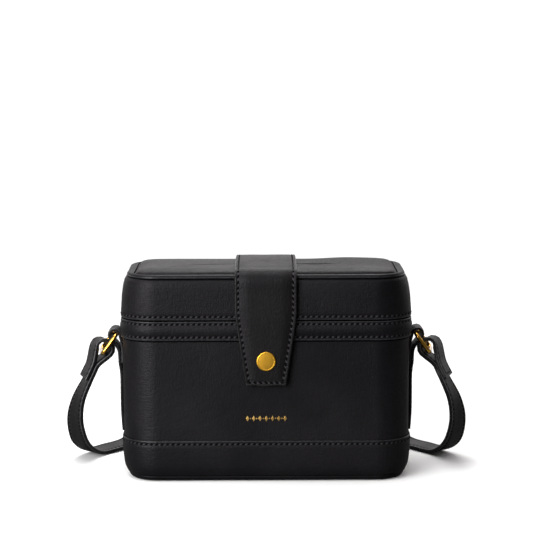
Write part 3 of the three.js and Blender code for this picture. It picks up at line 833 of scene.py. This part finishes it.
def strap(name, stations, thickness, line, finishes):
    """A strap with rounded painted edges along its stations, and the stitches' places on it."""
    along = np.gradient(stations[:, :3], axis=0)
    along /= np.linalg.norm(along, axis=1)[:, None]
    across = stations[:, 3:6] - along * np.sum(stations[:, 3:6] * along, axis=1)[:, None]
    across /= np.linalg.norm(across, axis=1)[:, None]
    face = np.cross(along, across)
    travelled = travelled_along(stations[:, :3])
    pitch = travelled[-1] / round(travelled[-1] / STITCH)
    rings, seams = [], []

    def ring(i, shift, share, less):
        section = strap_section(stations[i, 6], thickness, line, stations[i, 7], stations[i, 8])
        rings.append([stations[i, :3] + along[i] * shift + face[i] * (v * share)
                      + across[i] * (u - math.copysign(less, u) if abs(u) > less else u)
                      for u, v, *_ in section])
        seams.append([(travelled[i] / pitch if seam is None else seam, off)
                      for _, _, seam, off, _ in section])
    last = len(stations) - 1
    for shift, share, less in END_ROUND:
        ring(0, shift, share, less)
    for i in range(len(stations)):
        ring(i, 0.4 if i == 0 else -0.4 if i == last else 0, 1, 0)
    for shift, share, less in reversed(END_ROUND):
        ring(last, -shift, share, less)
    section = strap_section(10, thickness, line, 1, FAR)
    width = len(section)
    columns = [min(section[c][4], section[(c + 1) % width][4], len(finishes) - 1) for c in range(width)]
    piece = lofted(name, np.array(rings), lambda row, column: seams[row][column % width][0],
                   lambda row, column: seams[row][column][1], (False, True), finishes, None, columns)
    stitches = {1: [], -1: []}
    for stop in np.arange(1, round(travelled[-1] / pitch)) * pitch:
        i = int(np.argmin(abs(travelled - stop)))
        if stations[i, 7] < 0.99 or abs(stations[i, 8]) < FAR:
            continue
        centre = np.array([np.interp(stop, travelled, stations[:, k]) for k in range(3)])
        for side in (1, -1):
            for out in (1, -1):
                middle = centre + across[i] * side * (stations[i, 6] - line)
                middle = middle + face[i] * out * (thickness / 2 - PRESS)
                stitches[out].append((middle, along[i], face[i] * out))
    return piece, stitches


def top_height(inward):
    """Height of the lid's crowned panel at a way in from the rim."""
    return RIM_TOP + CROWN * eased(TOP_CROWN, inward / CROWN_ROOM)


def closure_controls():
    """Up the back, over the lid and down the front, with the tip's rounded corners."""
    inward = [row[0] * CROWN_ROOM for row in TOP_CROWN[2:]]
    lying = [(CASE_HALF_DEPTH - LID_SHOULDER[1] - way, top_height(way) + CLOSURE_LIE) for way in inward]
    edge_top = lying[0][1]
    back, front = CLOSURE_BENDS
    path = [(CLOSURE_BACK, z) for z in np.linspace(CLOSURE_BACK_END, edge_top - back, 6)]
    path += [(CLOSURE_BACK - back + back * math.cos(a), edge_top - back + back * math.sin(a))
             for a in np.radians([18, 36, 54, 72, 90])]
    path += lying + [(-y, z) for y, z in reversed(lying)]
    path += [(CLOSURE_FRONT + front - front * math.sin(a), edge_top - front + front * math.cos(a))
             for a in np.radians([0, 18, 36, 54, 72, 90])]
    taper_top = CLOSURE_TIP + CLOSURE_TAPER
    path += [(CLOSURE_FRONT, z) for z in np.linspace(edge_top - 14, CLOSURE_TIP + 0.01, 30)]
    rows = []
    for y, z in path:
        half = CLOSURE_HALF
        if y < 0:
            half -= (CLOSURE_HALF - CLOSURE_TIP_HALF) * eased(TAPER, (taper_top - z) / CLOSURE_TAPER)
        rows.append((0, y, z, 1, 0, 0, half, 1))
    return rows


def with_ends(stations, radius, line, ends=(True, True)):
    """Rounds a strap's corners at its ends, and runs its seam across before them."""
    travelled = travelled_along(stations[:, :3])
    length = travelled[-1]
    near = [0, 0.15 * radius, 0.5 * radius, radius] + [line + offset for offset, _ in groove(0, 0.9)]
    near = sorted(set(near + [line + 1.3]))
    stops = [way for way in travelled if line + 1.6 < way < length - line - 1.6]
    stops = sorted(near + stops + [length - way for way in near])
    placed_at = [np.interp(stops, travelled, stations[:, k]) for k in range(stations.shape[1])]
    stations = np.column_stack([*placed_at, np.full(len(stops), float(FAR))])
    for index, way in enumerate(stops):
        for wanted, from_end in ((ends[0], way), (ends[1], length - way)):
            if not wanted:
                continue
            if from_end < radius:
                stations[index, 6] -= radius - math.sqrt(radius**2 - (radius - from_end) ** 2)
            if from_end < line + 1:
                stations[index, 7] = 0
            if abs(from_end - line) < 0.95:
                stations[index, 8] = line - from_end
    return stations


def across_end(station, along, across, face, half, line, thickness):
    """Stitches across the end of a strap, a line's width before it."""
    count = int((half - line) / STITCH)
    return [(station - along * line + across * (step * STITCH) + face * (thickness / 2 - PRESS), across, face)
            for step in range(-count, count + 1)]


stations = with_ends(through(closure_controls()), CLOSURE_CORNER, CLOSURE_LINE)
closure, stitches = strap("closure", stations, CLOSURE_LEATHER, CLOSURE_LINE, [strap_leather, edge_paint])
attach(closure, "root")
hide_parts("closure_strap")
tip_row = across_end(Vector((0, CLOSURE_FRONT, CLOSURE_TIP)), Vector((0, 0, -1)), Vector((1, 0, 0)),
                     Vector((0, -1, 0)), CLOSURE_TIP_HALF, CLOSURE_LINE, CLOSURE_LEATHER)
back_row = across_end(Vector((0, CLOSURE_BACK, CLOSURE_BACK_END)), Vector((0, 0, -1)), Vector((1, 0, 0)),
                      Vector((0, 1, 0)), CLOSURE_HALF, CLOSURE_LINE, CLOSURE_LEATHER)
sewn("closure_thread", stitches[1] + tip_row + back_row)


# Hinge: a plain leather strip across the gap between the collar and the lid at the back, sewn
# flat to both all round. It bends when the lid is opened.
HINGE_HALF_WIDTH = 75
HINGE_HALF_HEIGHT = 15
HINGE_MIDDLE = 123.4
HINGE_BACK = 51.1
HINGE_LEATHER = 1.6
HINGE_CORNER = 5
HINGE_LINE = 2.6

controls = [(x, HINGE_BACK, HINGE_MIDDLE, 0, 0, 1, HINGE_HALF_HEIGHT, 1)
            for x in np.linspace(-HINGE_HALF_WIDTH, HINGE_HALF_WIDTH, 8)]
stations = with_ends(through(controls), HINGE_CORNER, HINGE_LINE)
hinge, stitches = strap("hinge", stations, HINGE_LEATHER, HINGE_LINE, [case_leather, edge_paint])
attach(hinge, "root")
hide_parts("hinge_strip")
out = 1 if stitches[1][0][2][1] > 0 else -1
sides = [s for side in (-1, 1) for s in across_end(
    Vector((side * HINGE_HALF_WIDTH, HINGE_BACK, HINGE_MIDDLE)), Vector((side, 0, 0)), Vector((0, 0, 1)),
    Vector((0, 1, 0)), HINGE_HALF_HEIGHT - 1.6, HINGE_LINE, HINGE_LEATHER)]
sewn("hinge_thread", stitches[out] + sides)


# Snap: a turned brass cap pressed through the closure strap, with a flat face inside a low rim.
# The stud behind the strap is the frame's own, in the same brass.
SNAP_HEIGHT = 93.4
SNAP_BACK = -54.05
SNAP_SIDES = 72
SNAP_PROFILE = [(0, 1.80), (2.5, 1.78), (4.6, 1.72), (5.8, 1.66), (6.05, 1.64), (6.25, 1.70), (6.5, 1.72),
                (6.8, 1.64), (7.05, 1.45), (7.22, 1.15), (7.3, 0.8), (7.24, 0.4), (7.0, 0.1), (6.8, 0.0)]
BRASS_YELLOW = (0.82, 0.445, 0.045, 1)
BRASS_DEEP = (0.60, 0.28, 0.022, 1)


def make_brass_wear():
    """Handled brass: tarnish in soft patches, and the fine marks of brushing."""
    group, entry, out = new_group("brass wear", [("Tarnish scale", 260.0), ("Brushing scale", 3000.0)],
                                  ["Tarnish", "Brushing"])
    place = node(group, "ShaderNodeTexCoord").outputs["Object"]
    for label, detail in (("Tarnish", 4.0), ("Brushing", 2.0)):
        made = node(group, "ShaderNodeTexNoise", sockets=[("Detail", detail)])
        group.links.new(place, made.inputs["Vector"])
        group.links.new(entry.outputs[label + " scale"], made.inputs["Scale"])
        group.links.new(made.outputs["Fac"], out.inputs[label])
    return group


brass_wear = make_brass_wear()


def brass(name, smooth, rough, tarnished, brushed, lacquer):
    """Brass: a rich yellow with faint brushing and a little tarnish, under more or less lacquer."""
    material, shader, tree = new_material(name)
    wear = placed(tree, brass_wear)
    worn = ramp(tree, wear.outputs["Tarnish"], 0.35, 0.75, 0.0, tarnished)
    tree.links.new(blend_colours(tree, worn, BRASS_YELLOW, BRASS_DEEP), shader.inputs["Base Color"])
    tree.links.new(ramp(tree, wear.outputs["Tarnish"], 0.3, 0.7, smooth, rough), shader.inputs["Roughness"])
    tree.links.new(bumped(tree, wear.outputs["Brushing"], brushed, 0.5), shader.inputs["Normal"])
    shader.inputs["Metallic"].default_value = 1
    shader.inputs["Coat Weight"].default_value = lacquer
    shader.inputs["Coat Roughness"].default_value = 0.05
    return material


snap_brass = brass("satin brass", 0.36, 0.42, 0.35, 0.006, 0.0)
wire_brass = brass("polished brass", 0.11, 0.17, 0.3, 0.003, 0.85)


def built(name, points, faces, material, smooth=True):
    """A piece in one material from its points and faces."""
    mesh = bpy.data.meshes.new(name)
    mesh.from_pydata([(x * MM, y * MM, z * MM) for x, y, z in points], [], faces)
    mesh.materials.append(material)
    return set_down(name, mesh, smooth=smooth)


def turned(name, profile, sides, back, height, material):
    """A round piece turned about the front-to-back line, from rows of (radius, way out)."""
    points = [(0, back - profile[0][1], height)]
    for radius, out in profile[1:]:
        for side in range(sides):
            angle = 2 * math.pi * side / sides
            points.append((radius * math.cos(angle), back - out, height + radius * math.sin(angle)))
    faces = [(0, 1 + side, 1 + (side + 1) % sides) for side in range(sides)]
    for row in range(len(profile) - 2):
        here, there = 1 + row * sides, 1 + (row + 1) * sides
        faces += [(here + side, there + side, there + (side + 1) % sides, here + (side + 1) % sides)
                  for side in range(sides)]
    faces.append(tuple(range(1 + (len(profile) - 2) * sides, 1 + (len(profile) - 1) * sides)))
    return built(name, points, faces, material)


snap = turned("snap", SNAP_PROFILE, SNAP_SIDES, SNAP_BACK, SNAP_HEIGHT, snap_brass)
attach(snap, "root")
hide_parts("snap_cap")
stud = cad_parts["snap_stud"]
stud.data.materials.clear()
stud.data.materials.append(wire_brass)


# Side tabs: a leather strip up the middle of each end from the boot to the mouth, taken round the
# ring's upper bar and folded back behind itself, with painted edges and two lines of stitches.
TAB_HALF = 10
TAB_LEATHER = 2.2
TAB_INNER = 110.9
TAB_OUTER = 113.4
TAB_FOOT = 31.9
TAB_FOLD_FOOT = 84.9
TAB_LAP = 8.5
TAB_LOOP = (117.4, 106.9)
TAB_LOOP_RADIUS = 3.0
TAB_SPREAD = 12.5
TAB_LINE = 2.3
TAB_BOW = ((0, TAB_FOOT), (0.45, 38), (0.95, 47), (1.1, 58), (1.1, 68))
# Painted highlight: a light grey line along the corners of the painted edges on the tabs and the shoulder
# strap.
CORNER_HIGHLIGHT = (0.155, 0.157, 0.172, 1)

painted_corner_highlight = grained("painted corner highlight", (CORNER_HIGHLIGHT, EDGE_HIGHLIGHT_GREY), "Fleck", (0.05, 0.5), 0.36, 0.3)
STRAP_FINISHES = [strap_leather, edge_paint, painted_corner_highlight]


def eye_round(centre, radius, toward, reach, half_gap, steps):
    """Points of a leather eye in a side's plane, from where one layer leaves it to the other."""
    aside = (-toward[1], toward[0])
    leaving = math.atan2(half_gap, reach) + math.acos(radius / math.hypot(reach, half_gap))
    points = []
    for step in range(steps + 1):
        angle = leaving + (2 * math.pi - 2 * leaving) * step / steps
        points.append(tuple(centre[k] + radius * (toward[k] * math.cos(angle) + aside[k] * math.sin(angle))
                            for k in (0, 1)))
    return points


def tab_path():
    """Up the end of the case, round the ring's bar and back down behind."""
    meet = ((TAB_INNER + TAB_OUTER) / 2, TAB_LOOP[1] - TAB_SPREAD)
    away = (meet[0] - TAB_LOOP[0], meet[1] - TAB_LOOP[1])
    reach = math.hypot(*away)
    toward = (away[0] / reach, away[1] / reach)
    path = [(TAB_INNER + bow, z) for bow, z in TAB_BOW]
    path += [(TAB_INNER + 1.25, TAB_FOLD_FOOT - TAB_LAP), (TAB_INNER + 1.7, TAB_FOLD_FOOT - TAB_LAP / 2),
             (TAB_OUTER - 0.15, TAB_FOLD_FOOT), (TAB_OUTER + 0.1, meet[1] - 4), (TAB_OUTER + 0.5, meet[1])]
    path += eye_round(TAB_LOOP, TAB_LOOP_RADIUS + TAB_LEATHER / 2, toward, reach, 1.0, 18)
    return path + [(TAB_INNER, meet[1]), (TAB_INNER, TAB_FOLD_FOOT + 3), (TAB_INNER, TAB_FOLD_FOOT)]


path = tab_path()
for word, side in (("left", -1), ("right", 1)):
    controls = [(side * x, 0, z, 0, 1, 0, TAB_HALF, 1 if z < TAB_LOOP[1] - TAB_SPREAD + 1 else 0)
                for x, z in path]
    stations = with_ends(through(controls), 0.6, TAB_LINE, (True, False))
    tab, stitches = strap(f"tab_{word}", stations, TAB_LEATHER, TAB_LINE, STRAP_FINISHES)
    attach(tab, "root")
    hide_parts(f"side_tab_{word}")
    shown = [s for out in (1, -1) for s in stitches[out]
             if s[2][0] * side > 0 and abs(s[0][0]) > TAB_INNER + 0.1]
    across = across_end(Vector((side * TAB_INNER, 0, TAB_FOOT)), Vector((0, 0, -1)), Vector((0, 1, 0)),
                        Vector((side, 0, 0)), TAB_HALF, TAB_LINE, TAB_LEATHER)
    sewn(f"tab_thread_{word}", shown + across)


# Rings: round brass wire bent to a rectangle with round corners, its joint brazed and polished
# away. Each one hangs from a tab at a slant, and the shoulder strap passes round its lower bar.
RING_WIRE = 1.6
RING_TILT = 37
RING_TURN = 6
RING_REACH = 17.8
RING_HALF_WIDTH = 12.7
RING_CORNER = 3.2
RING_BAR = (116.9, 107.2)

tilt = math.radians(RING_TILT)
ring_way = (math.sin(tilt), -math.cos(tilt))
lower_bar = (RING_BAR[0] + ring_way[0] * RING_REACH, RING_BAR[1] + ring_way[1] * RING_REACH)


def wire_ring(name, side):
    """The bent wire of one ring."""
    turn = math.radians(RING_TURN)
    aside = Vector((side * math.sin(turn), math.cos(turn), 0))
    down = Vector((side * ring_way[0], 0, ring_way[1]))
    down = (down - aside * down.dot(aside)).normalized()
    flat = down.cross(aside)
    middle = Vector((side * (RING_BAR[0] + lower_bar[0]) / 2, 0, (RING_BAR[1] + lower_bar[1]) / 2))
    sections = []
    for quarter in range(4):
        down_sign = 1 if quarter in (0, 3) else -1
        side_sign = 1 if quarter < 2 else -1
        for step in range(11):
            angle = (quarter + step / 10) * math.pi / 2
            outward = down * math.cos(angle) + aside * math.sin(angle)
            centre = (middle + down * (down_sign * (RING_REACH / 2 - RING_CORNER))
                      + aside * (side_sign * (RING_HALF_WIDTH - RING_CORNER)) + outward * RING_CORNER)
            sections.append([tuple(centre + outward * (RING_WIRE * math.cos(round_wire))
                                   + flat * (RING_WIRE * math.sin(round_wire)))
                             for round_wire in np.arange(24) * math.pi / 12])
    return lofted(name, np.array(sections), lambda row, column: 0, lambda row, column: FAR, (True, True),
                  [wire_brass])


for word, side in (("left", -1), ("right", 1)):
    ring = wire_ring(f"wire_ring_{word}", side)
    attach(ring, "root")
    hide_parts(f"ring_{word}")


# Shoulder strap: one long strap of two leathers glued back to back, edges painted and sewn along
# both sides. Each end is folded round a ring and sewn down on the outer side. From the rings it
# hangs out beside the case, turns flat on the ground, and runs on edge in a round loop behind.
STRAP_HALF = 10
STRAP_LEATHER = 3.0
STRAP_LINE = 2.5
STRAP_GAP = 3.2
STRAP_EYE_RADIUS = 6.0
STRAP_EYE = (127.5, 95.5)
STRAP_NECK = 17
STRAP_NECK_TILT = 30
STRAP_EYE_TURN = 21
STRAP_EYE_LEAN = -4.5
STRAP_FOLD = 10.5
STRAP_TOP = (128.98, 90.96)
STRAP_BULGE = 24
BACK_LOOP_CENTRE = 210
BACK_LOOP_RADIUS = 86
BACK_LOOP_STEPS = 12
ROUTE = [(0.44, -0.006, 0.755, 21, -2), (0.70, 0.006, 0.6, 25, 0), (0.86, 0.04, 0.435, 32, 2),
         (0.89, 0.09, 0.27, 41, 5), (0.77, 0.152, 0.115, 49, 4), (0.42, 0.235, 0.014, 48, 1),
         (-0.1, 0.315, 0.006, 50, 1), (-0.72, 0.425, 0.002, 57, 3), (-1.22, 0.54, 0.002, 68, 24),
         (-1.58, 0.68, 0.001, 80, 66)]


def width_way(side, turn, lean):
    """Direction across the strap where it is turned about the upright and leant, in degrees."""
    turn, lean = math.radians(turn), math.radians(lean)
    return (side * math.cos(lean) * math.sin(turn), math.cos(lean) * math.cos(turn), math.sin(lean))


def half_strap(side):
    """Stations of half the strap, from its folded end to the middle of the loop behind."""
    neck_tilt = math.radians(STRAP_NECK_TILT)
    toward = (math.sin(neck_tilt), -math.cos(neck_tilt))
    outboard = (-toward[1], toward[0])
    eye_across = width_way(side, STRAP_EYE_TURN, STRAP_EYE_LEAN)
    start = [STRAP_EYE[k] + STRAP_NECK * toward[k] - STRAP_GAP / 2 * outboard[k] for k in (0, 1)]
    controls = [(side * start[0], 0, start[1], *eye_across, STRAP_HALF, 1)]
    for out, back, up, turn, lean in ROUTE:
        across = width_way(side, turn, lean)
        rest = STRAP_HALF * across[2] + STRAP_LEATHER / 2 * math.cos(math.radians(lean))
        controls.append((side * (STRAP_TOP[0] + out * STRAP_BULGE), back * BACK_LOOP_CENTRE,
                         rest + up * STRAP_TOP[1], *across, STRAP_HALF, 1))
    for step in range(BACK_LOOP_STEPS + 1):
        angle = math.pi / 2 * step / BACK_LOOP_STEPS
        controls.append((side * BACK_LOOP_RADIUS * math.cos(angle),
                         BACK_LOOP_CENTRE + BACK_LOOP_RADIUS * math.sin(angle), STRAP_HALF, 0, 0, 1,
                         STRAP_HALF, 1))
    route = through(controls)
    along = np.gradient(route[:, :3], axis=0)
    away = np.cross(along, route[:, 3:6])
    away /= np.linalg.norm(away, axis=1)[:, None]
    steps = round(STRAP_FOLD * STEPS_PER_STITCH / STITCH)
    fold = route[:steps + 1].copy()
    fold[:, :3] += side * STRAP_GAP * away[:steps + 1]
    eye_points = eye_round(STRAP_EYE, STRAP_EYE_RADIUS, toward, STRAP_NECK, STRAP_GAP / 2, 22)
    loop = np.array([(side * x, 0, z, *eye_across, STRAP_HALF, 1) for x, z in eye_points])
    return fold[::-1], loop, route


def whole_strap():
    """Both halves joined in the middle of the loop."""
    left, right = half_strap(-1), half_strap(1)
    return through([*left[0], *left[1], *left[2], *right[2][::-1][1:], *right[1][::-1], *right[0][::-1]])


stations = with_ends(whole_strap(), 0.8, STRAP_LINE)
shoulder, stitches = strap("shoulder", stations, STRAP_LEATHER, STRAP_LINE, STRAP_FINISHES)
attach(shoulder, "root")
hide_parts("shoulder_strap")
sewn("shoulder_thread_out", stitches[1])
sewn("shoulder_thread_in", stitches[-1])


# Gold ornament: a plain row of small lozenges with a dot between each two, stamped in gold foil
# low on the front of the body.
ORNAMENT_HEIGHT = 48.6
ORNAMENT_HALF = 14.2
ORNAMENT_TALL = 2.1
ORNAMENT_WIDE = 1.25
ORNAMENT_DOT = 0.5
ORNAMENT_COUNT = 7
FOIL_GOLD = (0.95, 0.62, 0.19, 1)
FOIL_DULL = (0.50, 0.29, 0.07, 1)

gold_foil = grained("gold foil", (FOIL_GOLD, FOIL_DULL), "Mottle", (0.04, 0.6), 0.34, 0.5, 1400.0, 1)


def ornament_row():
    """Lozenges and the dots between them, as rows of (x, half width, half height)."""
    marks = []
    gaps = ORNAMENT_COUNT - 1
    for index in range(ORNAMENT_COUNT):
        x = (index / gaps - 0.5) * 2 * ORNAMENT_HALF
        marks.append((x, ORNAMENT_WIDE, ORNAMENT_TALL))
        if index < gaps:
            marks.append((x + ORNAMENT_HALF / gaps, ORNAMENT_DOT, ORNAMENT_DOT))
    return marks


def surface_front(x, z):
    """Where the front of the body is at a place."""
    ring = case_ring(BODY_INSET, BODY_INSET, z)
    front = ring[ring[:, 1] < 0]
    order = np.argsort(front[:, 0])
    return float(np.interp(x, front[order, 0], front[order, 1]))


points, faces = [], []
for x, half, tall in ornament_row():
    surface = surface_front(x, ORNAMENT_HEIGHT)
    first = len(points)
    for grow, out in ((1, -0.12), (1, 0.05), (0.8, 0.09)):
        for u, v in ((half, 0), (0, tall), (-half, 0), (0, -tall)):
            points.append((x + u * grow, surface - out, ORNAMENT_HEIGHT + v * grow))
    for level in (0, 4):
        for k in range(4):
            here, there = first + level, first + level + 4
            faces.append((here + k, here + (k + 1) % 4, there + (k + 1) % 4, there + k))
    faces += [tuple(first + k for k in (3, 2, 1, 0)), tuple(first + 8 + k for k in range(4))]
ornament = built("ornament", points, faces, gold_foil, smooth=False)
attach(ornament, "root")


# Studio: a white table top, white all round behind it and overhead, a darker room in front of it,
# and soft lights from the front left, overhead and behind. Its sizes, and the camera's, are in metres.
TABLE = (-1.6, 1.6, -0.2, 1.3)
ROOM_BACK = 0.98
ROOM_OVERHEAD = 0.80
ROOM_FRONT = 0.08
ROOM_TINT = (1, 0.972, 0.966, 1)
ROOM_SEEN = 1.1
FLOOR_SEEN = (0.94, 0.94, 0.94, 1)
FLOOR_THROWS = (0.16, 0.16, 0.16, 1)
FLOOR_DROP = 0.0002
LIGHTS = [
    ("key", (-0.62, -0.84, 0.34), 0.9, 17.0),
    ("overhead", (-0.32, -0.12, 1.2), 0.8, 9.0),
    ("back", (0.0, 1.2, 1.6), 1.3, 12.0),
]
LIGHTS_AIM = (0, 0, 0.08)


def make_floor():
    """A plain white table top, which throws little light up on the bag."""
    left, right, front, back = TABLE
    mesh = bpy.data.meshes.new("floor")
    corners = [(left, front, 0), (right, front, 0), (right, back, 0), (left, back, 0)]
    mesh.from_pydata(corners, [], [(0, 1, 2, 3)])
    material, shader, tree = new_material("floor")
    seen = node(tree, "ShaderNodeLightPath").outputs["Is Camera Ray"]
    tree.links.new(blend_colours(tree, seen, FLOOR_THROWS, FLOOR_SEEN), shader.inputs["Base Color"])
    shader.inputs["Roughness"].default_value = 0.9
    shader.inputs["Specular IOR Level"].default_value = 0.1
    mesh.materials.append(material)
    piece = set_down("floor", mesh, face_out=False, smooth=False)
    piece.location.z = -FLOOR_DROP
    return piece


floor = make_floor()

for name, place, size, power in LIGHTS:
    light = bpy.data.lights.new(name, "AREA")
    light.shape = "DISK"
    light.size = size
    light.energy = power
    lamp = bpy.data.objects.new(name, light)
    lamp.location = place
    lamp.rotation_euler = (Vector(LIGHTS_AIM) - Vector(place)).to_track_quat("-Z", "Y").to_euler()
    bpy.context.scene.collection.objects.link(lamp)

world = bpy.data.worlds.new("surround")
world.use_nodes = True
bpy.context.scene.world = world
tree = world.node_tree
background = tree.nodes["Background"]
background.inputs["Color"].default_value = ROOM_TINT
seen = node(tree, "ShaderNodeBackground", sockets=[("Color", (1, 1, 1, 1)), ("Strength", ROOM_SEEN)])
way = node(tree, "ShaderNodeSeparateXYZ")
tree.links.new(node(tree, "ShaderNodeTexCoord").outputs["Generated"], way.inputs[0])
low = ramp(tree, way.outputs["Y"], 0.1, 0.6, ROOM_FRONT, ROOM_BACK)
strength = node(tree, "ShaderNodeMix", data_type="FLOAT")
tree.links.new(ramp(tree, way.outputs["Z"], 0.45, 0.8), strength.inputs[0])
tree.links.new(low, strength.inputs[2])
strength.inputs[3].default_value = ROOM_OVERHEAD
tree.links.new(strength.outputs[0], background.inputs["Strength"])
which = node(tree, "ShaderNodeMixShader")
tree.links.new(node(tree, "ShaderNodeLightPath").outputs["Is Camera Ray"], which.inputs[0])
tree.links.new(background.outputs[0], which.inputs[1])
tree.links.new(seen.outputs[0], which.inputs[2])
tree.links.new(which.outputs[0], tree.nodes["World Output"].inputs["Surface"])
bpy.context.scene.view_settings.view_transform = "Standard"


# Camera: a long lens in front of the bag and a little above it, looking slightly down, and
# tipped by a quarter of a degree, as the photo is.
SENSOR_WIDTH = 36
LENS_TO_FRAME = 1924 / 533
CAMERA_PLACE = (0.0006, -1.480, 0.339)
CAMERA_DOWN = 6.95
CAMERA_TIP = -0.24

camera = bpy.data.objects.new("camera", bpy.data.cameras.new("camera"))
bpy.context.scene.collection.objects.link(camera)
bpy.context.scene.camera = camera
camera.data.sensor_width = SENSOR_WIDTH
camera.data.lens = SENSOR_WIDTH * LENS_TO_FRAME
camera.data.clip_start = 0.05
camera.data.clip_end = 50
camera.matrix_world = (Matrix.Translation(CAMERA_PLACE)
                       @ Matrix.Rotation(math.radians(90 - CAMERA_DOWN), 4, "X")
                       @ Matrix.Rotation(math.radians(CAMERA_TIP), 4, "Z"))
